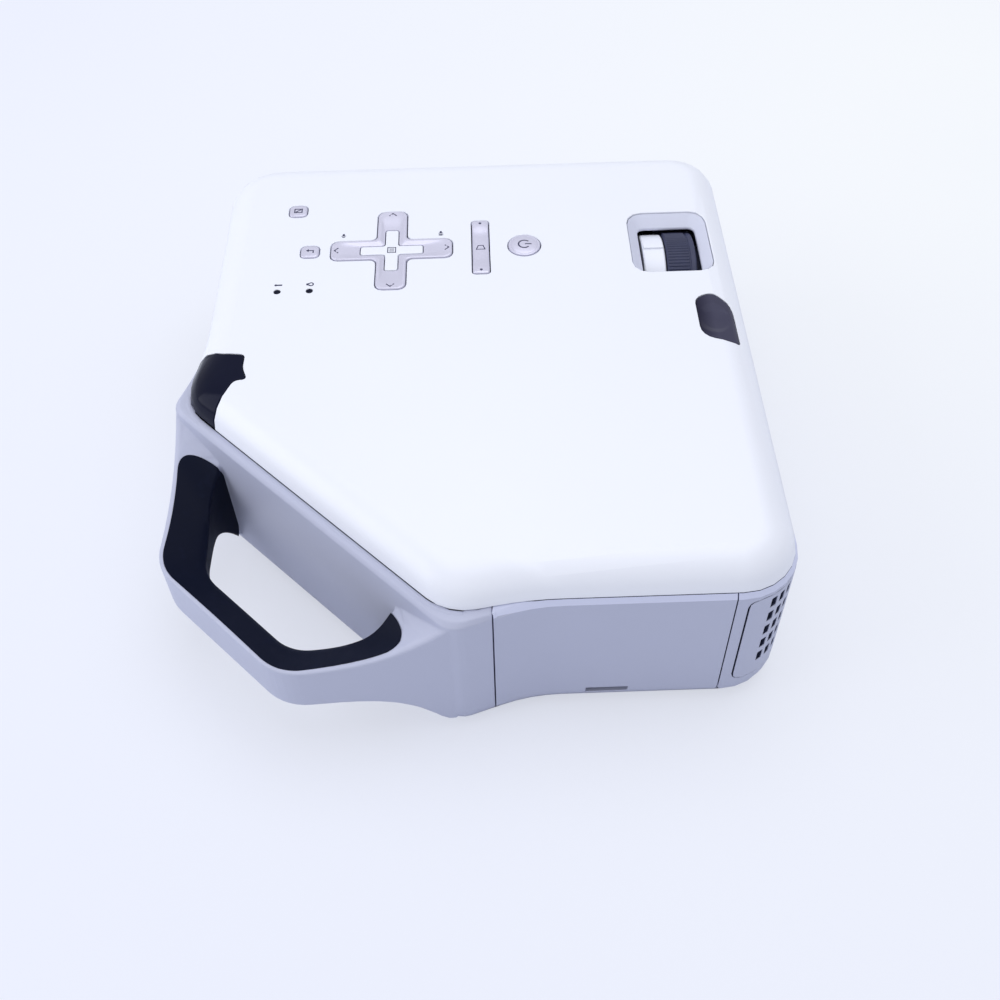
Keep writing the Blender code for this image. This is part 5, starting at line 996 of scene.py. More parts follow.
class ProjectorFinishSettings(bpy.types.PropertyGroup):
    cover_colour: colour_setting("Cover", "Colour of the crowned top cover", (0.83, 0.85, 0.93))
    housing_colour: colour_setting("Housing", "Colour of the walls, handle and lamp door",
                                   (0.48, 0.502, 0.645))
    trim_colour: colour_setting("Trim", "Colour of the lens ring frame and the shroud", (0.63, 0.65, 0.78))
    grip_colour: colour_setting("Grip", "Colour of the soft liner in the handle", (0.004, 0.006, 0.018))
    window_colour: colour_setting("Window", "Colour of the smoked receiver windows", (0.004, 0.005, 0.015))
    key_colour: colour_setting("Keys", "Colour of the silver key paint", (0.66, 0.65, 0.79))
    ring_colour: colour_setting("Rings", "Colour of the focus ring and the lens barrel",
                                (0.032, 0.037, 0.082))
    ink_colour: colour_setting("Signs", "Colour of the printed signs", (0.025, 0.025, 0.07))
    edge_round: length_setting("Edge rounding", "Rounding of the shells' edges", 0.00025)


class ProjectorDetailSettings(bpy.types.PropertyGroup):
    focus_ribs: IntProperty(name="Focus ring ribs", description="How many ribs the focus ring has",
                            min=24, max=200, default=104)
    rib_depth: length_setting("Rib depth", "How deep the focus ring's ribs are", 0.00045)
    print_stand: length_setting("Print thickness", "How far printed signs stand up", 0.00003)
    print_line: length_setting("Print line", "Width of the lines of printed signs", 0.0006)


class ProjectorStageSettings(bpy.types.PropertyGroup):
    floor_colour: colour_setting("Floor", "Colour of the floor", (0.8, 0.83, 0.92))
    floor_clear: length_setting("Shadow reach", "How far from the middle the floor keeps its shadow", 0.45,
                                0.0, 4.0)
    floor_size: length_setting("Floor size", "Width of the square floor", 8.0, 1.0, 20.0)
    sky_strength: FloatProperty(name="Sky", description="Strength of the even light from all round",
                                min=0, default=0.7)
    lamp_power: power_setting("Lamp power", "Power of the wide lamp overhead", 9.2)
    side_power: power_setting("Side lamp power", "Power of the wide lamp on the left", 7.0)
    camera_place: FloatVectorProperty(name="Camera place", description="Where the camera stands",
                                      subtype='TRANSLATION', size=3, default=(0.01155, -0.41157, 0.47868))
    camera_turn: FloatVectorProperty(name="Camera turn", description="Turns about the camera's own axes",
                                     subtype='EULER', size=3, default=(0.6900, 0.0202, -0.0430))
    camera_lens: FloatProperty(name="Camera lens", description="Focal length on a 36 mm frame",
                               unit='CAMERA', min=1, default=42.6)


# Pieces


class PROJECTOR_OT_shells(bpy.types.Operator):
    """Top cover, lower housing, lamp door, exhaust grille, lens ring frame and shroud"""
    bl_idname = "projector.shells"
    bl_label = "Shells"

    def execute(self, context):
        edge = settings("projector_finish").edge_round
        fine_copy("top_cover", edge)
        for node in ("lower_housing", "lamp_door", "exhaust_grille"):
            fine_copy(node, edge, "wall_shell")
        fine_copy("recess_bezel", 2 * edge, segments=3)
        fine_copy("lens_shroud", edge)
        make_door_shade()
        return {'FINISHED'}


# Painted shade strip in the lamp door's finger slot: height on the wall, size, corner and how deep it lies
STRIP_HEIGHT = 10.6 * MM
STRIP_SIZE = (24.0 * MM, 6.8 * MM)
STRIP_CORNER = 0.3 * MM
STRIP_DEPTHS = (5.7 * MM, 6.3 * MM)


def make_door_shade():
    """A dark strip behind the lamp door's finger slot that stands for the shade in it."""
    outline = rounded_box((middle("lamp_door").x, STRIP_HEIGHT), *STRIP_SIZE, STRIP_CORNER, 2)
    rings = [[(point.x, BODY_NEAR + depth, point.y) for point in outline] for depth in STRIP_DEPTHS]
    seated(loft("door_dust_strip", rings), "case", "rubber")


class PROJECTOR_OT_handle(bpy.types.Operator):
    """Corner handle moulding and the soft liner inside its loop"""
    bl_idname = "projector.handle"
    bl_label = "Handle"

    def execute(self, context):
        stations = handle_stations(HANDLE_ROWS)
        make_handle(stations)
        make_handle_rim()
        make_grip_liner(stations)
        return {'FINISHED'}


class PROJECTOR_OT_windows(bpy.types.Operator):
    """Dark receiver windows in the cover's edge and the two light pipes"""
    bl_idname = "projector.windows"
    bl_label = "Windows"

    def execute(self, context):
        fine_copy("rear_window", 2 * settings("projector_finish").edge_round, segments=3)
        flowed(whole_mesh("front_window", "front_window_form"), "front_window", *WINDOW_FLOW)
        for node in ("lamp_light", "temperature_light"):
            make_light_pipe(node)
        return {'FINISHED'}


# Height of a light pipe's dome, and its flat tip as a share of its radius
PIPE_DOME = 0.25 * MM
TIP = 0.05


def make_light_pipe(node):
    """A light pipe with a domed end."""
    radius = size(node).x / 2
    top = high(node).z
    profile = [(low(node).z, radius), (top - PIPE_DOME, radius)]
    for share in (0.35, 0.7, 1.0):
        angle = share * math.pi / 2
        rise = PIPE_DOME * math.sin(angle)
        profile.append((top - PIPE_DOME + rise, max(radius * math.cos(angle), radius * TIP)))
    rings = turned_rings(profile, (*middle(node).xy, 0), UP, 24)
    stand_in(loft(node + "_dome", rings), node)


class PROJECTOR_OT_lens(bpy.types.Operator):
    """Focus ring with its fine ribs, zoom ring, barrel, cells and glasses"""
    bl_idname = "projector.lens"
    bl_label = "Lens"

    def execute(self, context):
        edge = settings("projector_finish").edge_round
        make_focus_ring()
        fine_copy("zoom_ring", edge)
        for node in ("lens_barrel", "front_lens_cell", "zoom_cell", "front_lens", "zoom_lens"):
            fine_copy(node, 0)
        return {'FINISHED'}


# The focus ring: its bore, the plain band in front of its ribs, and the (along, drop, ribbed) rows at the
# ribs' back end, at their front end and at the band's front; a rib has four steps, two of them grooved
FOCUS_BORE = 23.35 * MM
FOCUS_BAND = 3.4 * MM
RIBS_BACK = ((0, 1.0, 0), (0.4, 0.5, 0.3), (0.8, 0, 1))
RIBS_FRONT = ((-0.5, 0, 1), (0, 0.6, 0), (0.4, 0.6, 0), (0.7, 0.2, 0))
BAND_FRONT = ((-0.8, 0.2, 0), (-0.3, 0.5, 0), (0, 1.2, 0))
RIB_STEPS = 4
GROOVE_STEPS = (2, 3)
RIB_SHARP = 28 * DEG


def make_focus_ring():
    """A ribbed band, then a plain rim and a stepped front edge, as one ring."""
    detail = settings("projector_detail")
    start = low("focus_ring").x
    centre = middle("focus_ring")
    outer = size("focus_ring").z / 2
    width = size("focus_ring").x
    rows = [(0, FOCUS_BORE, 0)]
    for begin, part in ((0, RIBS_BACK), (width - FOCUS_BAND, RIBS_FRONT), (width, BAND_FRONT)):
        rows += [(begin + along * MM, outer - drop * MM, ribbed) for along, drop, ribbed in part]
    rows.append((width, FOCUS_BORE, 0))
    steps = detail.focus_ribs * RIB_STEPS
    rings = []
    for along, radius, ribbed in rows:
        ring = []
        for step in range(steps):
            angle = 2 * math.pi * step / steps
            groove = detail.rib_depth * ribbed if step % RIB_STEPS in GROOVE_STEPS else 0
            reach = radius - groove
            ring.append(Vector((start + along, centre.y + reach * math.sin(angle),
                                centre.z + reach * math.cos(angle))))
        rings.append(ring)
    stand_in(loft("focus_ring_ribbed", rings, True, RIB_SHARP), "focus_ring")


# Keypad sizes that the frame's boxes don't give
PAD_ARM = 15.0 * MM
PAD_END_CORNER = 4.2 * MM
PAD_INNER_CORNER = 3.0 * MM
MENU_ARM = 6.4 * MM
MENU_END_CORNER = 1.2 * MM
MENU_INNER_CORNER = 1.6 * MM
MENU_GAP = 0.5 * MM
KEY_EDGE = 0.7 * MM
PAD_DIP = 1.0 * MM
PAD_SHOULDER = 0.05 * MM
ROCKER_CORNER = 1.6 * MM
ROCKER_HOLLOW = 0.85 * MM
ROCKER_END_FALL = 0.35 * MM
ROCKER_END = 0.9 * MM
# Shares of the rocker's half length: its rings near an end, and where its hollow begins and how long it falls
ROCKER_ENDS = [0.93, 0.97, 0.99, 1]
HOLLOW_START = 0.8
HOLLOW_RUN = 0.32
SMALL_KEY_CORNER = 2.6 * MM
# Inset and drop, in millimetres, of the rings of the menu key's and the small keys' tops
MENU_TOP = ((0, 0.3), (0.08, 0.12), (0.25, 0.02), (0.4, 0))
SMALL_KEY_TOP = ((0, 0.75), (0.12, 0.4), (0.4, 0.16), (0.9, 0.05), (2.0, 0.0))
# Drop and inset, in millimetres, of the power key's edge and groove, and the depth of its dome
POWER_EDGE = ((1.15, 0), (0.75, 0.12), (0.55, 0.4), (0.48, 0.8), (0.5, 1.15), (0.62, 1.3), (0.5, 1.5))
POWER_DOME = 0.5 * MM


def smooth(share):
    """A share from 0 to 1 that starts and ends gently."""
    return share * share * (3 - 2 * share)


class PROJECTOR_OT_keys(bpy.types.Operator):
    """Four-way pad, menu key, keystone rocker, power key and the two small keys"""
    bl_idname = "projector.keys"
    bl_label = "Keys"

    def execute(self, context):
        make_pad()
        make_menu_key()
        make_rocker()
        make_power_key()
        for node in ("hide_key", "return_key"):
            make_small_key(node)
        fine_copy("pad_flexure", 0)
        return {'FINISHED'}


def make_pad():
    """The dished cross: a rolled rim that falls in a smooth curve to the menu key."""
    node = "four_way_pad"
    centre = middle(node).xy
    reach = size(node).x / 2
    base = low(node).z
    top = high(node).z

    def outer(inset):
        return cross(centre, reach - inset, PAD_ARM - 2 * inset, PAD_END_CORNER, PAD_INNER_CORNER)

    inner = cross(centre, size("menu_key").x / 2 + MENU_GAP, MENU_ARM + 2 * MENU_GAP,
                  MENU_END_CORNER + MENU_GAP, MENU_INNER_CORNER)
    rings = [level(outer(0), base), level(outer(0), top - KEY_EDGE)]
    for turn in (25, 50, 75, 90):
        inset = KEY_EDGE * (1 - math.cos(turn * DEG))
        rings.append(level(outer(inset), top - KEY_EDGE * (1 - math.sin(turn * DEG))))
    shoulder = outer(KEY_EDGE * 1.8)
    rings.append(level(shoulder, top - PAD_SHOULDER))
    for step in range(1, 9):
        share = step / 8
        outline = [start.lerp(end, share) for start, end in zip(shoulder, inner)]
        rings.append(level(outline, top - PAD_DIP * smooth(share)))
    rings.append(level(inner, base))
    stand_in(loft("four_way_pad_dished", rings, True), node)


def make_menu_key():
    """The small cross in the pad, with rounded edges."""
    node = "menu_key"
    centre = middle(node).xy
    reach = size(node).x / 2
    corners = (MENU_END_CORNER, MENU_INNER_CORNER)
    rings = [level(cross(centre, reach, MENU_ARM, *corners), low(node).z)]
    for inset, drop in MENU_TOP:
        outline = cross(centre, reach - inset * MM, MENU_ARM - 2 * inset * MM, *corners)
        rings.append(level(outline, high(node).z - drop * MM))
    stand_in(loft("menu_key_rounded", rings), node)


def make_rocker():
    """The keystone rocker: a raised pad at each end and a hollow between them."""
    node = "keystone_key"
    centre = middle(node)
    half = size(node).y / 2
    half_width = size(node).x / 2
    base = low(node).z
    top = high(node).z
    rings = []
    between_ends = [-0.9 + 0.1 * step for step in range(19)]
    for station in [-end for end in reversed(ROCKER_ENDS)] + between_ends + ROCKER_ENDS:
        from_end = half * (1 - abs(station))
        into_corner = max(ROCKER_CORNER - from_end, 0)
        wide = half_width - ROCKER_CORNER + math.sqrt(max(ROCKER_CORNER ** 2 - into_corner ** 2, 0))
        hollow = smooth(min(max((HOLLOW_START - abs(station)) / HOLLOW_RUN, 0), 1))
        end_fall = max(1 - from_end / ROCKER_END, 0) ** 2
        crest = top - ROCKER_HOLLOW * hollow - ROCKER_END_FALL * end_fall
        edge = min(KEY_EDGE, wide * 0.4)
        section = [(-wide, base), (-wide, crest - edge)]
        section += [(-wide + edge * (1 - math.cos(turn * DEG)), crest - edge * (1 - math.sin(turn * DEG)))
                    for turn in (30, 60, 90)]
        section += [(-x, z) for x, z in reversed(section)]
        rings.append([(centre.x + x, centre.y + station * half, z) for x, z in section])
    stand_in(loft("keystone_key_hollowed", rings), node)


def make_power_key():
    """A round key with a rolled edge, a fine groove and a domed middle."""
    node = "power_key"
    radius = size(node).x / 2
    top = high(node).z
    profile = [(low(node).z, radius)]
    profile += [(top - drop * MM, radius - inset * MM) for drop, inset in POWER_EDGE]
    dome = profile[-1][1]
    for share in (0.85, 0.7, 0.55, 0.4, 0.25, 0.1, 0.01):
        profile.append((top - POWER_DOME * share * share, dome * share))
    rings = turned_rings(profile, (*middle(node).xy, 0), UP, 64)
    stand_in(loft("power_key_domed", rings), node)


def make_small_key(node):
    """A small square key with a pillowed top."""
    centre = middle(node).xy
    side = size(node).x
    rings = [level(rounded_box(centre, side, side, SMALL_KEY_CORNER), low(node).z)]
    for inset, drop in SMALL_KEY_TOP:
        inner = side - 2 * inset * MM
        outline = rounded_box(centre, inner, inner, SMALL_KEY_CORNER - inset * MM * 0.8)
        rings.append(level(outline, high(node).z - drop * MM))
    stand_in(loft(node + "_pillowed", rings), node)


# Signs, drawn about the origin in metres with +X to the right of the photograph


def drawn(reach, *points):
    """Points given in shares of a sign's reach."""
    return [(x * reach, y * reach) for x, y in points]


def chevron(reach, line):
    return stroke(drawn(reach, (-0.5, 1), (0.5, 0), (-0.5, -1)), line)


def power_sign(radius, line):
    """An open ring with a bar in its opening."""
    ring = stroke(arc((0, 0), radius, 50 * DEG, 310 * DEG, 20), line)
    return ring + stroke(drawn(radius, (0.25, 0), (1.15, 0)), line)


def page_sign(reach, line):
    """A page with three lines on it, for the menu."""
    page = stroke(drawn(reach, (-1, -1), (1, -1), (1, 1), (-1, 1)), line, True)
    for row in (-0.45, 0.0, 0.45):
        page += stroke(drawn(reach, (-0.5, row), (0.5, row)), line * 0.8)
    return page


def screen_sign(reach, line):
    """A screen crossed out, for hiding the picture."""
    screen = stroke(drawn(reach, (-1, -0.75), (1, -0.75), (1, 0.75), (-1, 0.75)), line, True)
    return screen + stroke(drawn(reach, (-0.55, -0.4), (0.55, 0.4)), line)


def return_sign(reach, line):
    """An arrow that turns back."""
    shaft = stroke(drawn(reach, (1, -0.6), (1, 0.35), (-0.6, 0.35)), line)
    return shaft + [drawn(reach, (-1.2, 0.35), (-0.35, 1), (-0.35, -0.3))]


def bulb_sign(reach, line):
    """A bulb over two short lines."""
    bulb = stroke(arc((0, reach * 0.3), reach * 0.6, -60 * DEG, 240 * DEG, 14), line)
    for half, row in ((0.3, -0.5), (0.2, -0.85)):
        bulb += stroke(drawn(reach, (-half, row), (half, row)), line)
    return bulb


def thermometer_sign(reach, line):
    return stroke(drawn(reach, (0, 1), (0, -0.3)), line * 1.6) + [disc((0, -reach * 0.6), reach * 0.42, 12)]


def speaker_sign(reach, line, loud):
    """A loudspeaker, with a second wave when it stands for louder."""
    body = [drawn(reach, (-1, -0.3), (-0.4, -0.3), (0.1, -0.8), (0.1, 0.8), (-0.4, 0.3), (-1, 0.3))]
    for ring in range(1 + loud):
        body += stroke(arc((reach * 0.1, 0), reach * (0.5 + 0.4 * ring), -40 * DEG, 40 * DEG, 6), line * 0.8)
    return body


# Sizes of the signs, and how far they lie in from a key's ends or off the lights and the pad
ARROW_REACH = 1.7 * MM
ARROW_INSET = 2.6 * MM
PAGE_REACH = 2.0 * MM
POWER_RADIUS = 2.9 * MM
DOT_RADIUS = 0.75 * MM
DOT_INSET = 2.5 * MM
TAPER = [(-2.2 * MM, -1.5 * MM), (2.2 * MM, -1.5 * MM), (1.2 * MM, 1.5 * MM), (-1.2 * MM, 1.5 * MM)]
SCREEN_REACH = 1.9 * MM
RETURN_REACH = 1.7 * MM
THERMOMETER_REACH = 1.7 * MM
BULB_REACH = 1.8 * MM
SPEAKER_REACH = 1.7 * MM
LIGHT_TO_SIGN = Vector((0, 4.8 * MM))
PAD_TO_SPEAKER = (25.0 * MM, 12.0 * MM)


class PROJECTOR_OT_signs(bpy.types.Operator):
    """Printed signs: arrows, menu page, power, screen, return, volume, lamp and temperature"""
    bl_idname = "projector.signs"
    bl_label = "Signs"

    def execute(self, context):
        line = settings("projector_detail").print_line
        arrows = []
        reach = size("four_way_pad").x / 2 - ARROW_INSET
        for quarter in range(4):
            turn = quarter * math.pi / 2
            out = Vector((math.cos(turn), math.sin(turn)))
            arrows += moved(chevron(ARROW_REACH, line * 1.1), out * reach, turn)
        print_on("four_way_pad", "pad_arrows", "four_way_pad_dished", arrows)
        print_on("menu_key", "menu_sign", "menu_key_rounded", page_sign(PAGE_REACH, line * 0.8))
        print_on("power_key", "power_sign", "power_key_domed", power_sign(POWER_RADIUS, line * 1.2))
        end = size("keystone_key").y / 2 - DOT_INSET
        marks = [disc((0, side * end), DOT_RADIUS) for side in (-1, 1)] + stroke(TAPER, line * 0.8, True)
        print_on("keystone_key", "keystone_signs", "keystone_key_hollowed", marks)
        print_on("hide_key", "hide_sign", "hide_key_pillowed", screen_sign(SCREEN_REACH, line))
        print_on("return_key", "return_sign", "return_key_pillowed", return_sign(RETURN_REACH, line))
        make_cover_signs(line)
        return {'FINISHED'}


def print_on(node, name, form, outlines):
    """Print outlines drawn about the middle of a node on the form that stands for it."""
    printed(name, moved(outlines, middle(node).xy), form, body_of(node), slot_of(node))


def make_cover_signs(line):
    """The lamp, temperature and volume signs, drawn on the cover a quarter turn round."""
    pad = middle("four_way_pad").xy
    aside, ahead = PAD_TO_SPEAKER
    places = ((thermometer_sign(THERMOMETER_REACH, line), middle("lamp_light").xy + LIGHT_TO_SIGN),
              (bulb_sign(BULB_REACH, line), middle("temperature_light").xy + LIGHT_TO_SIGN),
              (speaker_sign(SPEAKER_REACH, line, 0), pad + Vector((-aside, ahead))),
              (speaker_sign(SPEAKER_REACH, line, 1), pad + Vector((aside, ahead))))
    signs = [outline for sign, place in places for outline in moved(sign, place, -90 * DEG)]
    printed("cover_signs", signs, "top_cover_form", "case", "white_shell")


class PROJECTOR_OT_sockets(bpy.types.Operator):
    """Connector panel, sockets and the contacts inside them"""
    bl_idname = "projector.sockets"
    bl_label = "Sockets"

    def execute(self, context):
        for node in ("connector_panel", "mains_inlet", "computer_socket", "usb_socket", "s_video_socket",
                     "video_socket", "audio_socket"):
            fine_copy(node, SOCKET_ROUND)
        make_inlet_blades()
        make_computer_face()
        make_round_contacts()
        make_usb_tongue()
        return {'FINISHED'}


# Sizes inside the sockets: the inlet's blades, the computer socket's insert and contacts, the round sockets'
# sleeves and pins, and the USB tongue; a front is a depth from the socket's front face
BLADE_FRONT = 3.5 * MM
BLADE_BACK = 2.0 * MM
BLADE_SIZE = (2.0 * MM, 4.0 * MM)
BLADE_EDGE = 0.4 * MM
BLADE_PLACES = ((-7.0 * MM, -1.5 * MM), (0.0, 2.5 * MM), (7.0 * MM, -1.5 * MM))
INSERT_MARGIN = (3.6 * MM, 2.4 * MM)
INSERT_CORNER = 1.6 * MM
INSERT_DEPTHS = (2.0 * MM, 7.0 * MM)
CONTACT_FRONT = 1.9 * MM
CONTACT_LENGTH = 0.3 * MM
CONTACT_RADIUS = 0.5 * MM
CONTACT_PITCH = 2.3 * MM
# Heights of the computer socket's contact rows, and each row's shift in pitches
CONTACT_ROWS = ((2.0 * MM, -0.25), (0.0, 0.25), (-2.0 * MM, -0.25))
SLEEVE_MARGIN = 0.35 * MM
SLEEVE_ENDS = (0.05 * MM, 0.75 * MM)
SLEEVE_WALL = 1.0 * MM
JACK_BORE = 1.9 * MM
PIN_FRONT = 3.0 * MM
PIN_LENGTH = 6.0 * MM
PIN_RADIUS = 0.35 * MM
PIN_PLACES = ((-1.7 * MM, -0.9 * MM), (1.7 * MM, -0.9 * MM), (-1.2 * MM, 1.4 * MM), (1.2 * MM, 1.4 * MM))
TONGUE_FRONT = 2.0 * MM
TONGUE_SIZE = (9.2 * MM, 2.0 * MM)
TONGUE_LENGTH = 7.0 * MM
TONGUE_EDGE = 0.3 * MM


def bar_rings(place, across, edge, front, back):
    """Rings of a block along X about a (y, z) place, with rounded long edges."""
    outline = rounded_box(place, *across, edge, 3)
    return [[(x, point.x, point.y) for point in outline] for x in (front, back)]


def make_inlet_blades():
    """Three flat blades in the mains inlet."""
    node = "mains_inlet"
    centre = middle(node)
    front = low(node).x + BLADE_FRONT
    back = high(node).x - BLADE_BACK
    groups = [bar_rings((centre.y + across, centre.z + rise), BLADE_SIZE, BLADE_EDGE, front, back)
              for across, rise in BLADE_PLACES]
    seated(solids("mains_inlet_blades", groups), "case", "bare_metal")


def make_computer_face():
    """The blue insert of the computer socket with three rows of contacts."""
    node = "computer_socket"
    centre = middle(node)
    front = low(node).x
    insert = rounded_box(centre.yz, size(node).y - 2 * INSERT_MARGIN[0], size(node).z - 2 * INSERT_MARGIN[1],
                         INSERT_CORNER)
    rings = [[(front + depth, point.x, point.y) for point in insert] for depth in INSERT_DEPTHS]
    seated(solids("computer_socket_insert", [rings]), "case", "bare_metal", "socket_blue")
    groups = []
    for rise, shift in CONTACT_ROWS:
        for column in range(-2, 3):
            place = (front + CONTACT_FRONT, centre.y + (column + shift) * CONTACT_PITCH, centre.z + rise)
            groups.append(pin_rings(place, CONTACT_RADIUS, CONTACT_LENGTH, 12))
    seated(solids("computer_socket_contacts", groups), "case", "bare_metal", "gold_contact")


def pin_rings(place, radius, length, steps):
    """Rings of a round pin along X."""
    return turned_rings([(0, radius), (length, radius)], place, (1, 0, 0), steps)


def make_round_contacts():
    """The coloured sleeves of the round sockets and the pins of the S-video socket."""
    for node, finish in (("video_socket", "socket_yellow"), ("audio_socket", "socket_green")):
        start, end = SLEEVE_ENDS
        outer = size(node).y / 2 - SLEEVE_MARGIN
        inner = JACK_BORE if node == "audio_socket" else outer - SLEEVE_WALL
        profile = [(start, outer), (start, inner), (end, inner), (end, outer)]
        place = (low(node).x, middle(node).y, middle(node).z)
        ring = loft(node + "_sleeve", turned_rings(profile, place, (1, 0, 0), 32), True)
        seated(ring, "case", "black_plastic", finish)
    centre = middle("s_video_socket")
    front = low("s_video_socket").x + PIN_FRONT
    groups = [pin_rings((front, centre.y + across, centre.z + rise), PIN_RADIUS, PIN_LENGTH, 10)
              for across, rise in PIN_PLACES]
    seated(solids("s_video_socket_pins", groups), "case", "bare_metal", "gold_contact")


def make_usb_tongue():
    """The tongue that carries the USB socket's contacts."""
    front = low("usb_socket").x + TONGUE_FRONT
    rings = bar_rings(middle("usb_socket").yz, TONGUE_SIZE, TONGUE_EDGE, front, front + TONGUE_LENGTH)
    seated(solids("usb_socket_tongue", [rings]), "case", "black_plastic")


class PROJECTOR_OT_feet(bpy.types.Operator):
    """Elevator foot, its release button, levelling foot, fixed foot and the housing screws"""
    bl_idname = "projector.feet"
    bl_label = "Feet"

    def execute(self, context):
        edge = settings("projector_finish").edge_round
        for node in ("elevator_foot", "level_dial", "fixed_foot", "foot_release"):
            fine_copy(node, edge)
        for node in ("level_stem", "housing_screw_1", "housing_screw_2", "housing_screw_3"):
            fine_copy(node, 0)
        return {'FINISHED'}


class PROJECTOR_OT_insides(bpy.types.Operator):
    """Lamp, colour wheel, optical engine, fans, boards, power units and loudspeaker"""
    bl_idname = "projector.insides"
    bl_label = "Insides"

    def execute(self, context):
        for node in ("lamp_housing", "optical_engine", "chip_heat_sink", "power_supply", "lamp_ballast",
                     "exhaust_fan_frame", "intake_fan_frame", "light_tunnel"):
            fine_copy(node, CASTING_ROUND)
        for node in ("exhaust_fan_rotor", "intake_fan_rotor", "lamp_reflector", "lamp_burner",
                     "wheel_motor", "speaker", "main_board", "key_board", "key_mat", "mirror_chip_board"):
            fine_copy(node, 0)
        fine_copy("colour_wheel", 0, "colour_wheel")
        make_board_parts()
        return {'FINISHED'}


# Chips and headers of the main board: (along, across) shares of the board, then width, depth and height in
# millimetres; its row of capacitors, with its places as shares of the board
BOARD_CHIPS = ((0.2, 0.2, 22, 22, 2.0), (0.62, 0.25, 14, 20, 1.6), (0.62, 0.5, 14, 14, 1.8),
               (0.25, 0.52, 10, 18, 1.6), (0.25, 0.78, 24, 6, 7.0), (0.7, 0.82, 12, 8, 5.0))
CHIP_CORNER = 0.4 * MM
SOLDER_GAP = 0.05 * MM
CAPACITORS = 5
CAPACITOR_FIRST = 0.15
CAPACITOR_PITCH = 0.16
CAPACITOR_ACROSS = 0.93
CAPACITOR_RADIUS = 3.0 * MM
CAPACITOR_HEIGHT = 9.0 * MM


def make_board_parts():
    """Chips, capacitors and headers on the main board."""
    start = low("main_board")
    span = size("main_board")
    top = high("main_board").z
    groups = []
    for along, across, wide, deep, tall in BOARD_CHIPS:
        centre = (start.x + span.x * along + wide * MM / 4, start.y + span.y * across)
        outline = rounded_box(centre, wide * MM, deep * MM, CHIP_CORNER, 2)
        groups.append([level(outline, top + SOLDER_GAP), level(outline, top + tall * MM)])
    profile = [(top + SOLDER_GAP, CAPACITOR_RADIUS), (top + CAPACITOR_HEIGHT, CAPACITOR_RADIUS)]
    for column in range(CAPACITORS):
        along = CAPACITOR_FIRST + CAPACITOR_PITCH * column
        place = (start.x + span.x * along, start.y + span.y * CAPACITOR_ACROSS, 0)
        groups.append(turned_rings(profile, place, UP, 16))
    seated(solids("main_board_parts", groups), "case", "board_green", "black_plastic")


# Stage


# Lamps' widths, places, colour; sky colour; where, how far and how strongly a glow is painted on the floor
OVERHEAD_LAMP = (1.4, (0.15, 0.3, 1.5))
LEFT_LAMP = (1.2, (-1.4, -0.16, 0.7))
LAMP_COLOUR = (0.96, 0.97, 1.0)
SKY_COLOUR = (0.93, 0.95, 1.0, 1.0)
SHINE_PLACE = (0.35, 0.3)
SHINE_RUN = 0.62
SHINE_PEAK = 1.15
DRIFT_GRAIN = 400.0 * MM
# The backdrop's share in the floor near the projector, what it gains beyond, and how fast
NEAR_SHARE = 0.6
FAR_GAIN = 0.4
FADE_RATE = 1.2
# The camera's frame in millimetres, and the nearest it sees in metres
SENSOR_WIDTH = 36.0
CLIP_START = 0.01


class PROJECTOR_OT_stage(bpy.types.Operator):
    """Pale floor, even light and the camera at the photograph's angle"""
    bl_idname = "projector.stage"
    bl_label = "Stage"

    def execute(self, context):
        stage = settings("projector_stage")
        make_floor(stage)
        make_light(stage)
        make_camera(stage)
        context.scene.view_settings.view_transform = 'Standard'
        return {'FINISHED'}


def floor_reach(finish, x, y):
    """How far a point of the floor lies from a place on it."""
    across = finish.part("X") - x
    along = finish.part("Y") - y
    return finish.math('SQRT', across * across + along * along)


def make_floor(stage):
    """Pale paper that keeps the soft shadow near the projector and turns into the backdrop beyond it."""
    half = stage.floor_size / 2
    corners = [(-half, -half, 0), (half, -half, 0), (half, half, 0), (-half, half, 0)]
    mesh = bpy.data.meshes.new("floor")
    mesh.from_pydata(corners, [], [(0, 1, 2, 3)])
    floor = bpy.data.objects.new("floor", mesh)
    bpy.context.scene.collection.objects.link(floor)
    finish = Finish("floor_paper", stage.floor_colour, 0.9)
    drift = finish.noise(DRIFT_GRAIN, 3.0)
    finish.feed("Base Color", finish.mix(drift, shade(stage.floor_colour, 0.985), finish.colour))
    finish.feed("Roughness", 0.85 + drift * 0.1)
    glow = finish.node('ShaderNodeLightPath', output="Is Camera Ray")
    paper, bright = [finish.node('ShaderNodeEmission', inputs=[("Color", (*colour, 1.0)), ("Strength", 1.0)])
                     for colour in (BACKDROP, PAINTED_FLOOR_GLOW)]
    # A painted glow of light on the floor, brightest near SHINE_PLACE and fading over SHINE_RUN
    painted_glow = finish.clamp(SHINE_PEAK - floor_reach(finish, *SHINE_PLACE) / SHINE_RUN)
    backdrop = finish.node('ShaderNodeMixShader', inputs=[(0, painted_glow), (1, paper), (2, bright)])
    beyond = floor_reach(finish, 0, 0) - stage.floor_clear
    fade = finish.clamp(beyond * FADE_RATE) * FAR_GAIN + NEAR_SHARE
    mixed = finish.node('ShaderNodeMixShader', inputs=[
        (0, glow * fade), (1, Signal(finish, finish.shader.outputs[0])), (2, backdrop)])
    finish.tree.links.new(mixed.socket, finish.tree.nodes["Material Output"].inputs["Surface"])
    mesh.materials.append(finish.material)


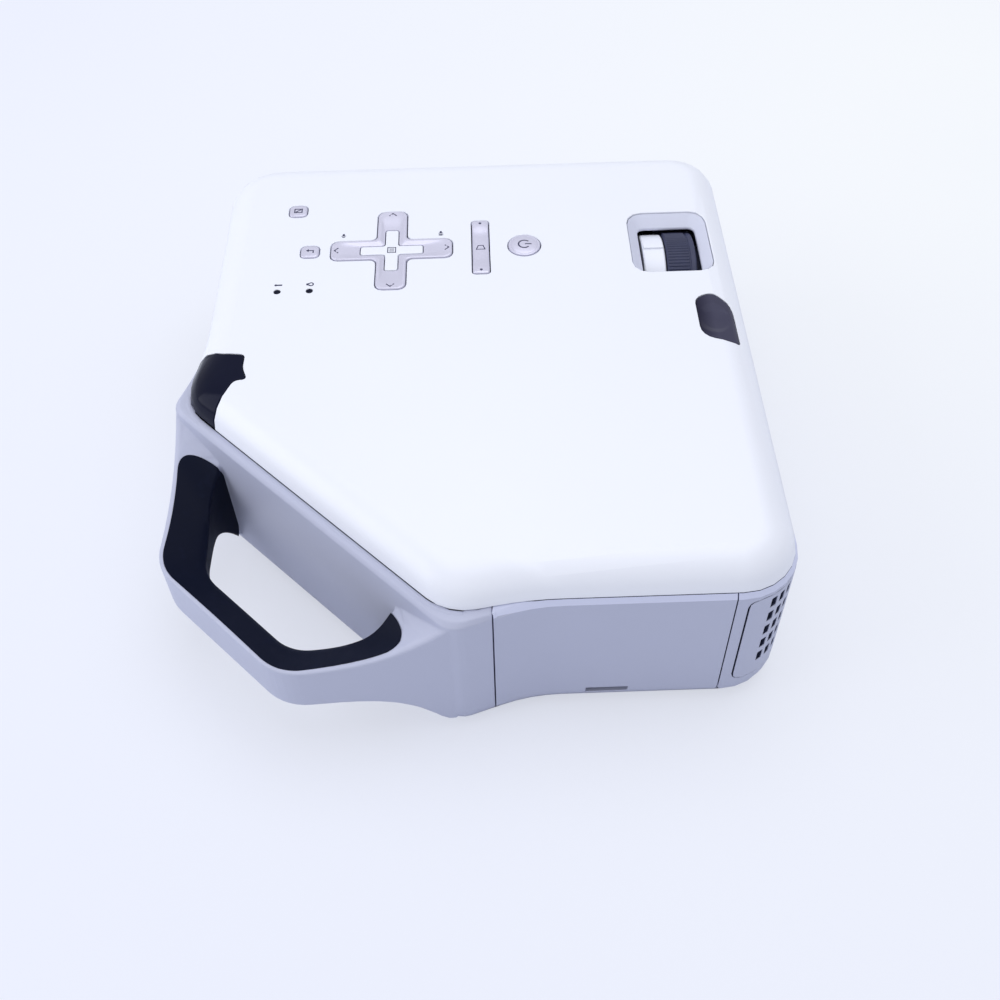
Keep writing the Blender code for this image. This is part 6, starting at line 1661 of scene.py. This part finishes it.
def make_light(stage):
    """Even light from all round, a backdrop that the camera sees, and two wide lamps."""
    world = bpy.data.worlds.new("even_light")
    world.use_nodes = True
    tree = world.node_tree
    sky = tree.nodes["Background"]
    sky.inputs["Color"].default_value = SKY_COLOUR
    sky.inputs["Strength"].default_value = stage.sky_strength
    backdrop = tree.nodes.new('ShaderNodeBackground')
    backdrop.inputs["Color"].default_value = (*BACKDROP, 1.0)
    backdrop.inputs["Strength"].default_value = 1.0
    path = tree.nodes.new('ShaderNodeLightPath')
    mixed = tree.nodes.new('ShaderNodeMixShader')
    tree.links.new(path.outputs["Is Camera Ray"], mixed.inputs[0])
    tree.links.new(sky.outputs[0], mixed.inputs[1])
    tree.links.new(backdrop.outputs[0], mixed.inputs[2])
    tree.links.new(mixed.outputs[0], tree.nodes["World Output"].inputs["Surface"])
    bpy.context.scene.world = world
    for name, power, (width, spot) in (("overhead_lamp", stage.lamp_power, OVERHEAD_LAMP),
                                       ("left_lamp", stage.side_power, LEFT_LAMP)):
        lamp = bpy.data.lights.new(name, 'AREA')
        lamp.energy = power
        lamp.size = width
        lamp.color = LAMP_COLOUR
        holder = bpy.data.objects.new(name, lamp)
        holder.location = spot
        holder.rotation_euler = (-Vector(spot)).to_track_quat('-Z', 'Y').to_euler()
        bpy.context.scene.collection.objects.link(holder)


def make_camera(stage):
    camera = bpy.data.cameras.new("camera")
    camera.lens = stage.camera_lens
    camera.sensor_width = SENSOR_WIDTH
    camera.clip_start = CLIP_START
    holder = bpy.data.objects.new("camera", camera)
    turn_x, turn_y, turn_z = stage.camera_turn
    rotation = (Matrix.Rotation(turn_z, 4, 'Z') @ Matrix.Rotation(turn_x, 4, 'X')
                @ Matrix.Rotation(turn_y, 4, 'Y'))
    holder.matrix_world = Matrix.Translation(Vector(stage.camera_place)) @ rotation
    bpy.context.scene.collection.objects.link(holder)
    bpy.context.scene.camera = holder


# Panel and registration


class PROJECTOR_PT_looks(bpy.types.Panel):
    """Lists the projector's steps and settings"""
    bl_idname = "PROJECTOR_PT_looks"
    bl_label = "Projector"
    bl_space_type = 'VIEW_3D'
    bl_region_type = 'UI'
    bl_category = "Projector"

    def draw(self, context):
        for name in SETTINGS:
            group = getattr(context.scene, name)
            for entry in group.bl_rna.properties:
                if entry.identifier not in ("rna_type", "name"):
                    self.layout.prop(group, entry.identifier)
        for step in STEPS:
            self.layout.operator(step.bl_idname)


SETTINGS = {
    "projector_finish": ProjectorFinishSettings,
    "projector_detail": ProjectorDetailSettings,
    "projector_stage": ProjectorStageSettings,
}
STEPS = (PROJECTOR_OT_shells, PROJECTOR_OT_handle, PROJECTOR_OT_windows, PROJECTOR_OT_lens,
         PROJECTOR_OT_keys, PROJECTOR_OT_signs, PROJECTOR_OT_sockets, PROJECTOR_OT_feet,
         PROJECTOR_OT_insides, PROJECTOR_OT_stage)


def register():
    for group in SETTINGS.values():
        bpy.utils.register_class(group)
    for step in STEPS:
        bpy.utils.register_class(step)
    bpy.utils.register_class(PROJECTOR_PT_looks)
    for name, group in SETTINGS.items():
        setattr(bpy.types.Scene, name, PointerProperty(type=group))


def unregister():
    for name in SETTINGS:
        delattr(bpy.types.Scene, name)
    bpy.utils.unregister_class(PROJECTOR_PT_looks)
    for step in reversed(STEPS):
        bpy.utils.unregister_class(step)
    for group in SETTINGS.values():
        bpy.utils.unregister_class(group)


def main():
    register()
    for step in STEPS:
        group, name = step.bl_idname.split(".")
        getattr(getattr(bpy.ops, group), name)()


if __name__ == "__main__":
    main()
